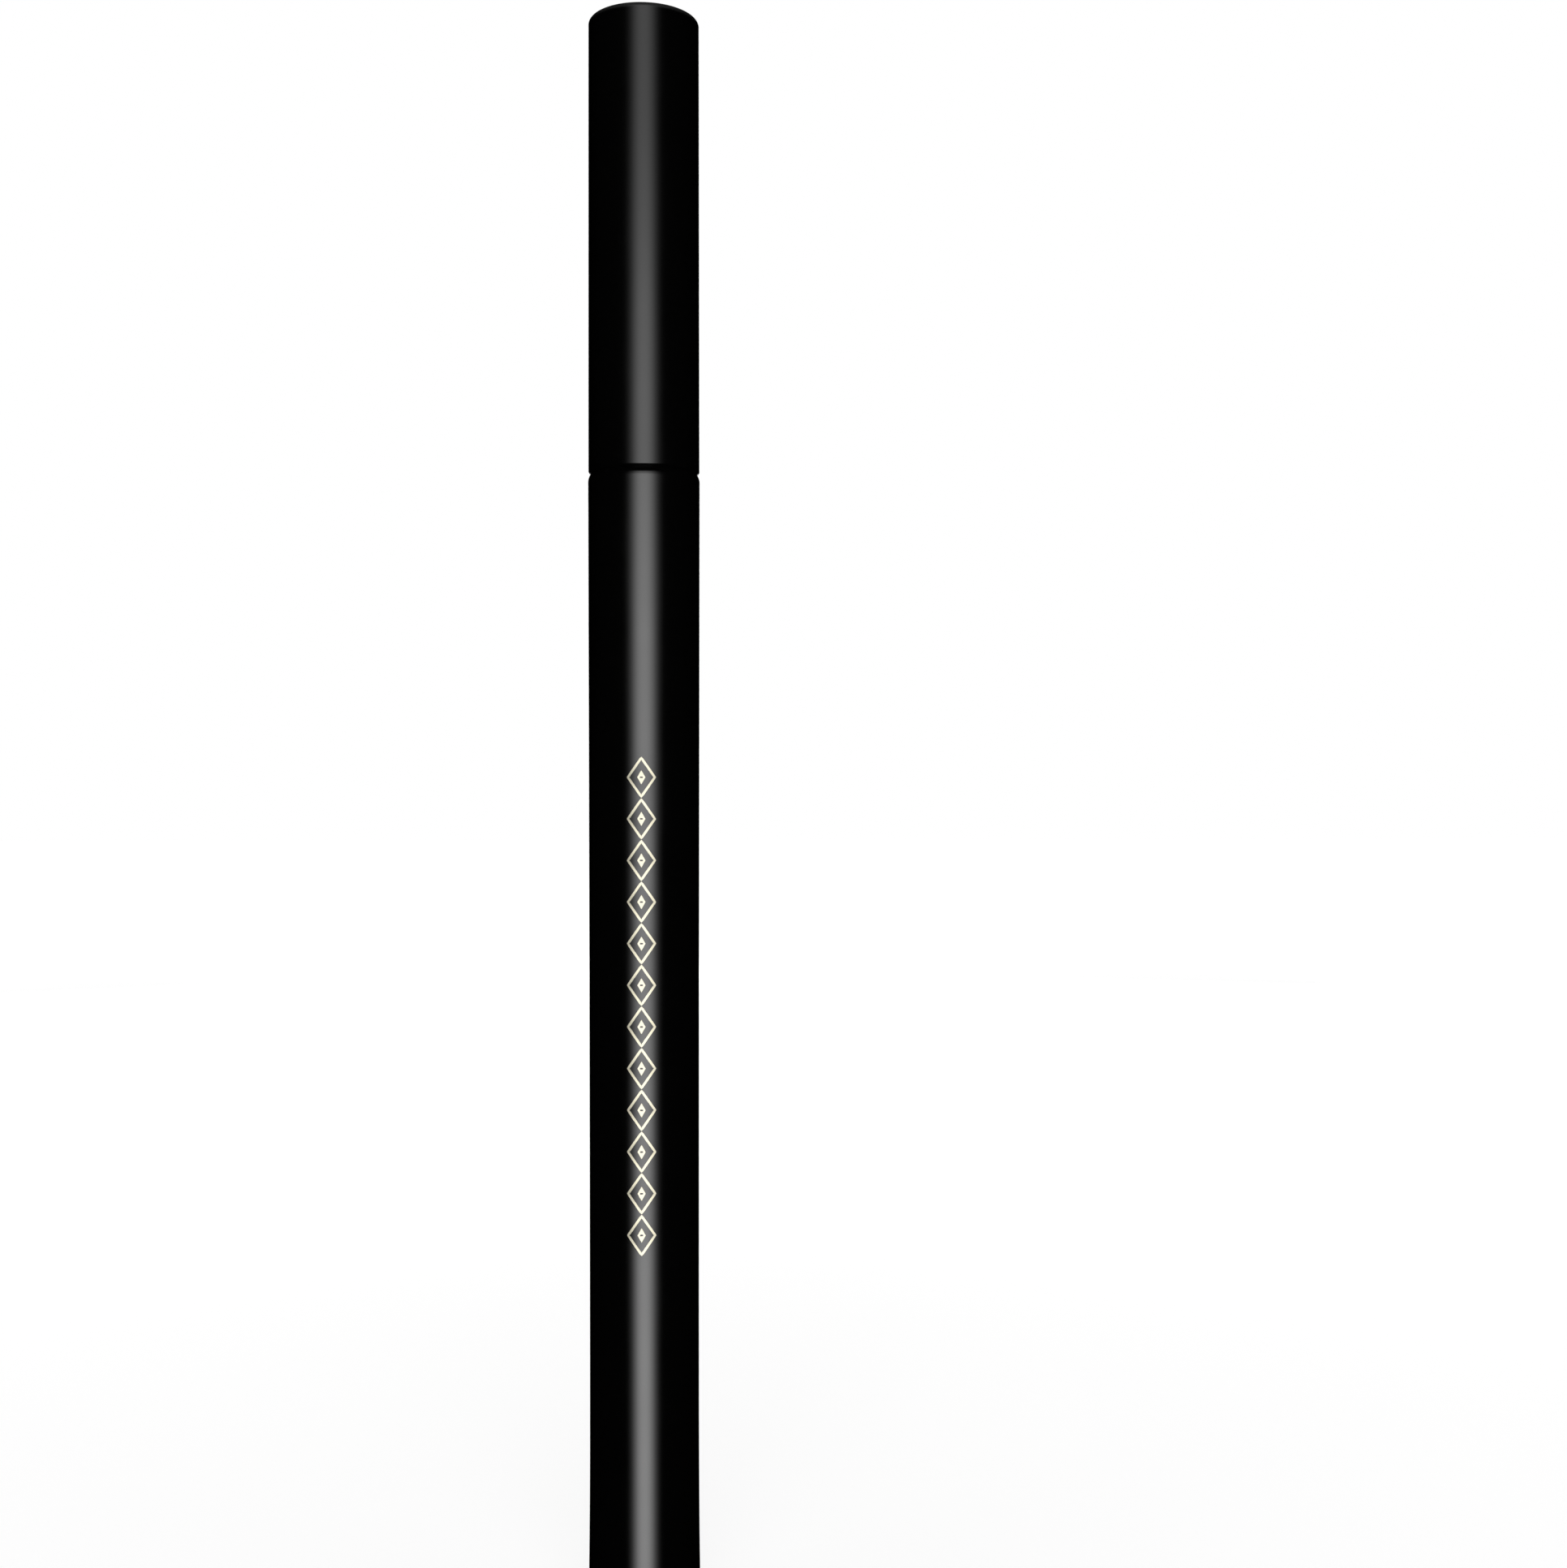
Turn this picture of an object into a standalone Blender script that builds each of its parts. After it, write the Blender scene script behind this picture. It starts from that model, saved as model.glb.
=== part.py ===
"""Liquid eyeliner pen with a pull-off cap, a brush tip and a free-ink feed.

The pen stands on its tail, +Z up, with the origin at the middle of the tail's flat end.
Lengths are metres. Radii and heights are worked out from the driving sizes below, from
the outside of the pen inwards and from the tail upwards, so that neighbours stay fitted.
"""

import math

import bmesh
import bpy
from mathutils import Vector

MM = 0.001

# Fits shared by the whole pen
FIT_GAP = 0.10 * MM  # radial room between a piece and the bore that holds it
SEAT_GAP = 0.10 * MM  # room between two faces that rest on each other
CUT_OVERRUN = 0.50 * MM  # how far a cutter runs past what it cuts

# Barrel: a moulded tube with a slim waist and a 45 degree shoulder
BARREL_RADIUS = 5.00 * MM
BARREL_LENGTH = 101.90 * MM
BARREL_WALL = 0.85 * MM
BARREL_WAIST_INSET = 0.135 * MM
BARREL_WAIST_HEIGHT = 18.0 * MM
FOOT_FLARE_POWER = 2.3  # how late the foot flares out below the waist
BARREL_SWELL_POWER = 1.5  # how late the barrel fills out above the waist
SHOULDER_WIDTH = 1.28 * MM
SHOULDER_FILLET = 1.25 * MM
BARREL_LIP_HEIGHT = 2.0 * MM
BARREL_FOOT_FILLET = 0.15 * MM

# Tail cap: closes the barrel, and the pen stands on it
TAIL_CAP_THICKNESS = 1.40 * MM
TAIL_CAP_FILLET = 0.35 * MM
TAIL_CAP_INSET = 0.04 * MM
TAIL_SPIGOT_HEIGHT = 2.20 * MM
TAIL_SPIGOT_WALL = 0.80 * MM
TAIL_RECESS_RADIUS = 1.60 * MM
TAIL_RECESS_DEPTH = 0.25 * MM

# Ink tank with its stopper and the ball that stirs the ink
STOPPER_FLANGE = 0.80 * MM
STOPPER_SPIGOT = 3.60 * MM
PLUG_CHAMFER = 0.22 * MM
STOPPER_WELL_RADIUS = 1.90 * MM
STOPPER_WELL_DEPTH = 2.40 * MM
BALL_RADIUS = 1.50 * MM

# Seal rings
RING_WIRE_RADIUS = 0.25 * MM
RING_GROOVE_SIDE = 0.08 * MM
RING_SIDES = 6

# Front section: the slim neck that shows when the cap is off
COLLAR_HEIGHT = 2.45 * MM
NECK_LENGTH = 16.40 * MM
NECK_SWELL_HEIGHT = 2.75 * MM
NECK_SWELL_POWER = 1.34
NECK_SWELL_SHARE = 0.335  # share of the neck's whole taper that lies in the swell
NECK_HOLLOW_HEIGHT = 9.95 * MM
NECK_HOLLOW_POWER = 2.5
NOZZLE_RADIUS = 2.45 * MM
NOZZLE_FILLET = 0.20 * MM
COLLAR_STEP = 0.37 * MM
SHANK_LENGTH = 12.5 * MM
SHANK_WALL = 0.80 * MM
SHANK_RING_HEIGHT = 3.0 * MM
NECK_BORE_RISE = 4.40 * MM
NOZZLE_HOLE_LENGTH = 4.90 * MM

# Brush: bonded root, loose bristles and the collar that holds them
BRUSH_RADIUS = 1.06 * MM
BRUSH_REACH = 7.75 * MM
BRUSH_TAPER = 4.60 * MM
BRUSH_ROOT_BELOW_NOZZLE = 6.50 * MM
BRISTLE_START_DEPTH = 0.60 * MM
BRISTLE_SECTORS = 5
BRISTLE_ROWS = 8
BRISTLE_SPACING_SHARE = 0.16
BRISTLE_BLUNT_SHARE = 0.04  # share of its taper that even the longest bristle stops short
BRISTLE_STAGGER_SHARE = 0.30  # share of the taper by which the shortest bristle is shorter
GOLDEN_SHARE = 0.618034  # spreads the bristles' lengths evenly
BRUSH_COLLAR_WALL = 0.42 * MM
BRUSH_COLLAR_LENGTH = 1.50 * MM

# Ink feed: gland, pipe, fibre core, comb and overflow sponge
CORE_RADIUS = 0.60 * MM
CORE_CHAMFER = 0.12 * MM
PIPE_WALL = 0.25 * MM
PIPE_DROP = 0.90 * MM
CORE_DROP = 0.60 * MM
GLAND_LENGTH = 3.0 * MM
COMB_HUB_WALL = 0.55 * MM
COMB_FINS = 10
COMB_LENGTH = 18.6 * MM
COMB_FIN_SHARE = 0.42
COMB_SLOT_WIDTH = 0.50 * MM
STEM_DROP_FROM_COLLAR = 1.0 * MM
NOSE_WALL = 0.35 * MM
SPONGE_LENGTH = 4.80 * MM

# Cap: shell, liner and the sprung cup that seals the brush
CAP_LENGTH = 40.70 * MM
CAP_INSET = 0.03 * MM
CAP_TAPER = 0.02 * MM
CAP_WALL = 0.52 * MM
CAP_CEILING = 1.10 * MM
CAP_TOP_FILLET = 0.38 * MM
CAP_MOUTH_LAND = 0.07 * MM
CAP_MOUTH_GAP = 0.09 * MM
LINER_TOP_ABOVE_NOZZLE = 0.40 * MM
LINER_GUIDE_LENGTH = 5.0 * MM
CUP_SKIRT_LENGTH = 1.50 * MM
CUP_SKIRT_WALL = 0.38 * MM
CUP_FLANGE = 0.80 * MM
CUP_ROOM_AROUND_BRUSH = 0.48 * MM
CUP_ROOM_ABOVE_BRUSH = 0.90 * MM
CUP_WALL = 0.70 * MM
CUP_TOP = 0.90 * MM
GASKET_THICKNESS = 0.40 * MM
GASKET_INNER_ROOM = 0.25 * MM
SPRING_WIRE_RADIUS = 0.20 * MM
SPRING_POST_RADIUS = 1.25 * MM
SPRING_POST_HEIGHT = 1.0 * MM
SPRING_TURNS = 7

# Facets around the axis, steps in a rounded corner and steps along a long curve
AROUND = 36
AROUND_SMALL = 18
CORNER_STEPS = 3
CURVE_STEPS = 5
HALF = 0.5
WELD = 0.0005 * MM  # points this close are one point

# Radii, from the outside in
barrel_bore = BARREL_RADIUS - BARREL_WALL
barrel_waist = BARREL_RADIUS - BARREL_WAIST_INSET
collar_radius = BARREL_RADIUS - SHOULDER_WIDTH
shank_radius = collar_radius - COLLAR_STEP
tank_bore = shank_radius + FIT_GAP
tank_radius = barrel_bore - FIT_GAP
plug_radius = tank_bore - FIT_GAP
shank_bore = shank_radius - SHANK_WALL
stem_radius = shank_bore - FIT_GAP
ring_radius = tank_bore - HALF * FIT_GAP - RING_WIRE_RADIUS
ring_groove_radius = ring_radius - RING_WIRE_RADIUS - HALF * FIT_GAP
nozzle_hole = BRUSH_RADIUS + FIT_GAP
brush_collar_bore = BRUSH_RADIUS + HALF * FIT_GAP
brush_collar_radius = brush_collar_bore + BRUSH_COLLAR_WALL
brush_seat_bore = brush_collar_radius + FIT_GAP
pipe_bore = CORE_RADIUS + FIT_GAP
pipe_radius = pipe_bore + PIPE_WALL
feed_bore = pipe_radius + FIT_GAP
comb_hub = feed_bore + COMB_HUB_WALL
nose_radius = feed_bore + NOSE_WALL
cap_radius = BARREL_RADIUS - CAP_INSET
cap_bore = cap_radius - CAP_TAPER - CAP_WALL
cap_mouth_bore = cap_radius - CAP_MOUTH_LAND
liner_radius = cap_bore - FIT_GAP
liner_bore = collar_radius + FIT_GAP
skirt_bore = NOZZLE_RADIUS + FIT_GAP
skirt_radius = skirt_bore + CUP_SKIRT_WALL
liner_guide_bore = skirt_radius + FIT_GAP
cup_bore = BRUSH_RADIUS + CUP_ROOM_AROUND_BRUSH
cup_radius = cup_bore + CUP_WALL
cup_flange_radius = cap_bore - FIT_GAP
spring_radius = SPRING_POST_RADIUS + SPRING_WIRE_RADIUS + FIT_GAP

# Heights, from the tail up
barrel_foot_z = TAIL_CAP_THICKNESS + SEAT_GAP
barrel_top_z = barrel_foot_z + BARREL_LENGTH
barrel_step_z = barrel_top_z - BARREL_LIP_HEIGHT
spigot_top_z = TAIL_CAP_THICKNESS + TAIL_SPIGOT_HEIGHT
stopper_foot_z = spigot_top_z + SEAT_GAP
stopper_seat_z = stopper_foot_z + STOPPER_FLANGE
stopper_top_z = stopper_seat_z + STOPPER_SPIGOT
tank_foot_z = stopper_seat_z + SEAT_GAP
tank_top_z = barrel_step_z - SEAT_GAP
collar_z = barrel_top_z + SEAT_GAP
nozzle_top_z = collar_z + NECK_LENGTH
shank_foot_z = collar_z - SHANK_LENGTH
neck_step_z = collar_z + NECK_BORE_RISE
brush_seat_z = nozzle_top_z - NOZZLE_HOLE_LENGTH
brush_collar_top_z = brush_seat_z - SEAT_GAP
brush_collar_foot_z = brush_collar_top_z - BRUSH_COLLAR_LENGTH
brush_root_z = nozzle_top_z - BRUSH_ROOT_BELOW_NOZZLE
brush_tip_z = nozzle_top_z + BRUSH_REACH
comb_top_z = shank_foot_z - SEAT_GAP
comb_foot_z = comb_top_z - COMB_LENGTH
gland_top_z = comb_foot_z - SEAT_GAP
gland_foot_z = gland_top_z - GLAND_LENGTH
pipe_foot_z = gland_foot_z - PIPE_DROP
core_foot_z = pipe_foot_z - CORE_DROP
core_top_z = brush_root_z - SEAT_GAP
stem_top_z = collar_z - STEM_DROP_FROM_COLLAR
nose_top_z = brush_collar_foot_z - SEAT_GAP
sponge_foot_z = stem_top_z + SEAT_GAP
cone_sum = collar_radius + barrel_top_z  # radius plus height is the same all down the cone
cap_mouth_z = cone_sum + CAP_MOUTH_GAP - cap_mouth_bore
cap_top_z = cap_mouth_z + CAP_LENGTH
cap_ceiling_z = cap_top_z - CAP_CEILING
liner_foot_z = collar_z
liner_top_z = nozzle_top_z + LINER_TOP_ABOVE_NOZZLE
liner_guide_z = liner_top_z - LINER_GUIDE_LENGTH
cup_foot_z = nozzle_top_z - CUP_SKIRT_LENGTH
gasket_foot_z = nozzle_top_z + SEAT_GAP
gasket_top_z = gasket_foot_z + GASKET_THICKNESS
cup_shelf_z = gasket_top_z + HALF * SEAT_GAP
cup_flange_z = liner_top_z + SEAT_GAP
cup_flange_top_z = cup_flange_z + CUP_FLANGE
cup_room_z = brush_tip_z + CUP_ROOM_ABOVE_BRUSH
cup_top_z = cup_room_z + CUP_TOP
spring_foot_z = cup_top_z + SEAT_GAP + SPRING_WIRE_RADIUS
spring_top_z = cap_ceiling_z - SEAT_GAP - SPRING_WIRE_RADIUS


def clear_scene():
    for old in list(bpy.data.objects):
        bpy.data.objects.remove(old)


def material(name, colour, roughness, metallic=0.0):
    """A Principled material in one colour."""
    made = bpy.data.materials.new(name)
    made.use_nodes = True
    shader = made.node_tree.nodes["Principled BSDF"]
    shader.inputs["Base Color"].default_value = (*colour, 1.0)
    shader.inputs["Roughness"].default_value = roughness
    shader.inputs["Metallic"].default_value = metallic
    made.diffuse_color = (*colour, 1.0)
    return made


def link(name, mesh, finish, smooth_below_deg=35.0):
    """A named object that holds the mesh, smooth but for its sharp edges."""
    mesh.materials.append(finish)
    mesh.shade_smooth()
    mesh.set_sharp_from_angle(angle=math.radians(smooth_below_deg))
    made = bpy.data.objects.new(name, mesh)
    bpy.context.scene.collection.objects.link(made)
    return made


def group(name, height, pieces, carrier=None):
    """An empty on the pen's axis that carries the pieces of one moving body."""
    handle = bpy.data.objects.new(name, None)
    handle.empty_display_size = BARREL_RADIUS
    bpy.context.scene.collection.objects.link(handle)
    handle.location.z = height
    for piece in pieces:
        piece.parent = handle
        piece.location.z -= height
    if carrier:
        handle.parent = carrier
        handle.location.z -= carrier.location.z
    return handle


def rounded(corners):
    """The outline through corners (radius, height) or (radius, height, fillet), with arcs at the fillets."""
    outline = []
    count = len(corners)
    for index, corner in enumerate(corners):
        here = Vector(corner[:2])
        fillet = corner[2] if len(corner) > 2 else 0.0
        if not fillet:
            outline.append(here)
            continue
        back = (Vector(corners[index - 1][:2]) - here).normalized()
        ahead = (Vector(corners[(index + 1) % count][:2]) - here).normalized()
        half_angle = HALF * back.angle(ahead)
        middle = here + (back + ahead).normalized() * (fillet / math.sin(half_angle))
        start = here + back * (fillet / math.tan(half_angle)) - middle
        turn = start.angle_signed(here + ahead * (fillet / math.tan(half_angle)) - middle)
        for step in range(CORNER_STEPS + 1):
            angle = -turn * step / CORNER_STEPS
            outline.append(
                middle
                + Vector(
                    (
                        start.x * math.cos(angle) - start.y * math.sin(angle),
                        start.x * math.sin(angle) + start.y * math.cos(angle),
                    )
                )
            )
    return [(point.x, point.y) for point in outline]


def turned(name, outline, finish, around=AROUND, closed=True):
    """The solid that an outline of (radius, height) sweeps once round the axis.

    A closed outline keeps clear of the axis. An open one starts and ends on it.
    """
    shape = bmesh.new()
    points = [shape.verts.new((radius, 0.0, height)) for radius, height in outline]
    edges = [shape.edges.new(pair) for pair in zip(points, points[1:])]
    if closed:
        edges.append(shape.edges.new((points[-1], points[0])))
    bmesh.ops.spin(
        shape,
        geom=points + edges,
        cent=(0.0, 0.0, 0.0),
        axis=(0.0, 0.0, 1.0),
        angle=2.0 * math.pi,
        steps=around,
        use_merge=True,
    )
    bmesh.ops.remove_doubles(shape, verts=shape.verts[:], dist=WELD)
    bmesh.ops.dissolve_degenerate(shape, edges=shape.edges[:], dist=WELD)
    bmesh.ops.recalc_face_normals(shape, faces=shape.faces[:])
    mesh = bpy.data.meshes.new(name)
    shape.to_mesh(mesh)
    shape.free()
    return link(name, mesh, finish)


def seal_ring(name, height, finish):
    """An O-ring lying in a groove of the plug or shank."""
    outline = [
        (
            ring_radius + RING_WIRE_RADIUS * math.cos(2.0 * math.pi * step / RING_SIDES),
            height + RING_WIRE_RADIUS * math.sin(2.0 * math.pi * step / RING_SIDES),
        )
        for step in range(RING_SIDES)
    ]
    return turned(name, outline, finish)


def ring_groove(height):
    """The four corners of a seal ring's groove, from the top down, on a plug's outer side."""
    half_width = RING_WIRE_RADIUS + RING_GROOVE_SIDE
    return [
        (plug_radius, height + half_width),
        (ring_groove_radius, height + half_width),
        (ring_groove_radius, height - half_width),
        (plug_radius, height - half_width),
    ]


def barrel_outside(height):
    """The barrel's outer radius: slimmest at the waist, and full at the shoulder and the foot."""
    waist_z = barrel_foot_z + BARREL_WAIST_HEIGHT
    if height < waist_z:
        away = (waist_z - height) / BARREL_WAIST_HEIGHT
        return barrel_waist + BARREL_WAIST_INSET * away**FOOT_FLARE_POWER
    away = (height - waist_z) / (barrel_top_z - waist_z)
    return barrel_waist + BARREL_WAIST_INSET * away**BARREL_SWELL_POWER


def make_barrel(finish):
    """Open at both ends: the lip at the top grips the front section's shank."""
    shoulder_foot_z = barrel_top_z - SHOULDER_WIDTH
    side_top_z = shoulder_foot_z - SHOULDER_FILLET
    side_foot_z = barrel_foot_z + 2.0 * BARREL_FOOT_FILLET
    side = []
    for step in range(2 * CURVE_STEPS + 1):
        height = side_foot_z + (side_top_z - side_foot_z) * step / (2 * CURVE_STEPS)
        side.append((barrel_outside(height), height))
    corners = [
        (barrel_outside(barrel_foot_z), barrel_foot_z, BARREL_FOOT_FILLET),
        *side,
        (BARREL_RADIUS, shoulder_foot_z, SHOULDER_FILLET),
        (collar_radius, barrel_top_z),
        (tank_bore, barrel_top_z),
        (tank_bore, barrel_step_z),
        (barrel_bore, barrel_step_z),
        (barrel_bore, barrel_foot_z),
    ]
    return turned("barrel", rounded(corners), finish)


def make_tail_cap(finish):
    """A disc that the pen stands on, with a ring that presses into the barrel."""
    rim = BARREL_RADIUS - TAIL_CAP_INSET
    ring = barrel_bore - FIT_GAP
    outline = [
        (0.0, TAIL_RECESS_DEPTH),
        (TAIL_RECESS_RADIUS, TAIL_RECESS_DEPTH),
        (TAIL_RECESS_RADIUS + TAIL_RECESS_DEPTH, 0.0),
        (rim, 0.0, TAIL_CAP_FILLET),
        (rim, TAIL_CAP_THICKNESS),
        (ring, TAIL_CAP_THICKNESS),
        (ring, spigot_top_z),
        (ring - TAIL_SPIGOT_WALL, spigot_top_z),
        (ring - TAIL_SPIGOT_WALL, TAIL_CAP_THICKNESS),
        (0.0, TAIL_CAP_THICKNESS),
    ]
    return turned("tail_cap", rounded(outline), finish, closed=False)


def make_ink_tank(finish):
    """The inner tube that holds the ink, between the stopper and the barrel's lip."""
    outline = [
        (tank_bore, tank_foot_z),
        (tank_radius, tank_foot_z),
        (tank_radius, tank_top_z),
        (tank_bore, tank_top_z),
    ]
    return turned("ink_tank", outline, finish)


def make_tank_stopper(finish):
    """Closes the tank's foot. The stirring ball rests on its flat top."""
    ring_z = HALF * (stopper_seat_z + stopper_top_z)
    outline = [
        (0.0, stopper_top_z),
        (plug_radius - PLUG_CHAMFER, stopper_top_z),
        (plug_radius, stopper_top_z - PLUG_CHAMFER),
        *ring_groove(ring_z),
        (plug_radius, stopper_seat_z),
        (tank_radius, stopper_seat_z),
        (tank_radius, stopper_foot_z),
        (STOPPER_WELL_RADIUS, stopper_foot_z),
        (STOPPER_WELL_RADIUS, stopper_foot_z + STOPPER_WELL_DEPTH),
        (0.0, stopper_foot_z + STOPPER_WELL_DEPTH),
    ]
    made = turned("tank_stopper", rounded(outline), finish, closed=False)
    return made, ring_z


def make_ball(finish):
    """The steel ball that stirs the ink. Its origin is its middle, on the pen's axis."""
    shape = bmesh.new()
    bmesh.ops.create_icosphere(shape, subdivisions=3, radius=BALL_RADIUS)
    mesh = bpy.data.meshes.new("agitator_ball")
    shape.to_mesh(mesh)
    shape.free()
    ball = link("agitator_ball", mesh, finish)
    ball.location.z = stopper_top_z + SEAT_GAP + BALL_RADIUS
    return ball


def neck_outside():
    """The neck from its collar up: a rounded swell, then a long hollow curve into the nozzle."""
    taper = collar_radius - NOZZLE_RADIUS
    swell = taper * NECK_SWELL_SHARE
    hollow = taper - swell
    foot_z = collar_z + COLLAR_HEIGHT
    waist_z = foot_z + NECK_SWELL_HEIGHT
    points = []
    for step in range(CURVE_STEPS + 1):
        along = step / CURVE_STEPS
        radius = collar_radius - swell * along**NECK_SWELL_POWER
        points.append((radius, foot_z + NECK_SWELL_HEIGHT * along))
    for step in range(1, CURVE_STEPS + 1):
        along = step / CURVE_STEPS
        radius = NOZZLE_RADIUS + hollow * (1.0 - along) ** NECK_HOLLOW_POWER
        points.append((radius, waist_z + NECK_HOLLOW_HEIGHT * along))
    return points


def make_front_section(finish):
    """The neck with the nozzle on top and the shank that plugs into the barrel."""
    ring_z = shank_foot_z + SHANK_RING_HEIGHT
    outline = [
        (shank_bore, shank_foot_z),
        (shank_radius - PLUG_CHAMFER, shank_foot_z),
        (shank_radius, shank_foot_z + PLUG_CHAMFER),
        *reversed(ring_groove(ring_z)),
        (shank_radius, collar_z),
        (collar_radius, collar_z),
        *neck_outside(),
        (NOZZLE_RADIUS, nozzle_top_z, NOZZLE_FILLET),
        (nozzle_hole, nozzle_top_z),
        (nozzle_hole, brush_seat_z),
        (brush_seat_bore, brush_seat_z),
        (brush_seat_bore, neck_step_z + SEAT_GAP),
        (shank_bore, neck_step_z),
    ]
    made = turned("front_section", rounded(outline), finish)
    return made, ring_z


def make_tank_gland(finish):
    """The soft plug that divides the tank from the comb, with the feed pipe through it."""
    outline = [
        (feed_bore, gland_foot_z),
        (plug_radius - PLUG_CHAMFER, gland_foot_z),
        (plug_radius, gland_foot_z + PLUG_CHAMFER),
        (plug_radius, gland_top_z - PLUG_CHAMFER),
        (plug_radius - PLUG_CHAMFER, gland_top_z),
        (feed_bore, gland_top_z),
    ]
    return turned("tank_gland", outline, finish, AROUND_SMALL)


def make_collector(finish):
    """The comb that takes up spare ink between its fins, with a stem and nose up to the brush."""
    pitch = COMB_LENGTH / COMB_FINS
    fin = pitch * COMB_FIN_SHARE
    outline = [(feed_bore, comb_foot_z)]
    for index in range(COMB_FINS):
        foot = comb_foot_z + index * pitch
        outline += [
            (plug_radius, foot),
            (plug_radius, foot + fin),
            (comb_hub, foot + fin),
            (comb_hub, foot + pitch),
        ]
    outline += [
        (stem_radius, comb_top_z),
        (stem_radius, stem_top_z),
        (nose_radius, stem_top_z),
        (nose_radius, nose_top_z),
        (feed_bore, nose_top_z),
    ]
    collector = turned("collector", outline, finish, AROUND_SMALL)
    cut_ink_slot(collector)
    return collector


def cut_ink_slot(collector):
    """The narrow channel down one side of the fins, which leads the ink along the comb."""
    shape = bmesh.new()
    bmesh.ops.create_cube(shape, size=1.0)
    slot_depth = plug_radius - comb_hub + CUT_OVERRUN
    slot_length = COMB_LENGTH + CUT_OVERRUN
    middle = (comb_hub + HALF * slot_depth, 0.0, comb_top_z - HALF * slot_length)
    for vertex in shape.verts:
        vertex.co = Vector(
            (
                middle[0] + vertex.co.x * slot_depth,
                middle[1] + vertex.co.y * COMB_SLOT_WIDTH,
                middle[2] + vertex.co.z * slot_length,
            )
        )
    mesh = bpy.data.meshes.new("ink_slot_cutter")
    shape.to_mesh(mesh)
    shape.free()
    cutter = bpy.data.objects.new("ink_slot_cutter", mesh)
    bpy.context.scene.collection.objects.link(cutter)
    cutter.hide_render = True
    cutter.display_type = "WIRE"
    cut = collector.modifiers.new("ink_slot", "BOOLEAN")
    cut.operation = "DIFFERENCE"
    cut.object = cutter


def make_tube(name, bore, radius, foot, top, finish):
    """A plain round tube."""
    outline = [(bore, foot), (radius, foot), (radius, top), (bore, top)]
    return turned(name, outline, finish, AROUND_SMALL)


def make_relay_core(finish):
    """The fibre rod that carries ink from the tank up to the brush's root."""
    outline = [
        (0.0, core_foot_z),
        (CORE_RADIUS - CORE_CHAMFER, core_foot_z),
        (CORE_RADIUS, core_foot_z + CORE_CHAMFER),
        (CORE_RADIUS, core_top_z),
        (0.0, core_top_z),
    ]
    return turned("relay_core", outline, finish, AROUND_SMALL, closed=False)


def bristle_cells():
    """The three corners of each cell on a round plate of unit radius, in rows round the middle."""
    def corner(sector, row, along):
        if row == 0:
            return Vector((0.0, 0.0))
        angle = 2.0 * math.pi * (sector + along / row) / BRISTLE_SECTORS
        return Vector((math.cos(angle), math.sin(angle))) * row / BRISTLE_ROWS

    for sector in range(BRISTLE_SECTORS):
        for row in range(BRISTLE_ROWS):
            for along in range(row + 1):
                outer = (corner(sector, row + 1, along), corner(sector, row + 1, along + 1))
                yield (corner(sector, row, along), *outer)
                if along < row:
                    yield (
                        corner(sector, row, along),
                        corner(sector, row + 1, along + 1),
                        corner(sector, row, along + 1),
                    )


def make_brush(finish):
    """Bristles that stand on their bonded root and gather into one point.

    Every bristle rises from its cell, and above the knee runs at the tip that all share.
    None crosses another, because at each height they are the plate's cells drawn in.
    """
    shape = bmesh.new()
    plate_z = nozzle_top_z - BRISTLE_START_DEPTH
    knee_z = brush_tip_z - BRUSH_TAPER
    gather = BRUSH_TAPER / (1.0 - BRISTLE_BLUNT_SHARE)
    known = {}

    def plate_vertex(point):
        key = (round(point.x, 6), round(point.y, 6))
        if key not in known:
            spot = point * BRUSH_RADIUS
            known[key] = shape.verts.new((spot.x, spot.y, plate_z))
        return known[key]

    for number, cell in enumerate(bristle_cells()):
        plate = [plate_vertex(point) for point in cell]
        centre = sum(cell, Vector((0.0, 0.0))) / len(cell)
        feet = [centre.lerp(point, 1.0 - BRISTLE_SPACING_SHARE) for point in cell]
        stagger = BRISTLE_STAGGER_SHARE * (number * GOLDEN_SHARE % 1.0) * centre.length
        reach = 1.0 - BRISTLE_BLUNT_SHARE - stagger
        tip = centre * BRUSH_RADIUS * (1.0 - reach)
        foot = [
            shape.verts.new((p.x * BRUSH_RADIUS, p.y * BRUSH_RADIUS, plate_z)) for p in feet
        ]
        knee = [
            shape.verts.new((p.x * BRUSH_RADIUS, p.y * BRUSH_RADIUS, knee_z)) for p in feet
        ]
        top = shape.verts.new((tip.x, tip.y, knee_z + gather * reach))
        for side in range(len(cell)):
            ahead = (side + 1) % len(cell)
            shape.faces.new((plate[side], plate[ahead], foot[ahead], foot[side]))
            shape.faces.new((foot[side], foot[ahead], knee[ahead], knee[side]))
            shape.faces.new((knee[side], knee[ahead], top))
    rim = [edge for edge in shape.edges if edge.is_boundary]
    swept = bmesh.ops.extrude_edge_only(shape, edges=rim)
    root_rim = [part for part in swept["geom"] if isinstance(part, bmesh.types.BMVert)]
    for vertex in root_rim:
        vertex.co.z = brush_root_z
    root_edges = [edge for edge in shape.edges if edge.is_boundary]
    bmesh.ops.contextual_create(shape, geom=root_edges)
    bmesh.ops.recalc_face_normals(shape, faces=shape.faces[:])
    mesh = bpy.data.meshes.new("brush_tip")
    shape.to_mesh(mesh)
    shape.free()
    return link("brush_tip", mesh, finish)


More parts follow.
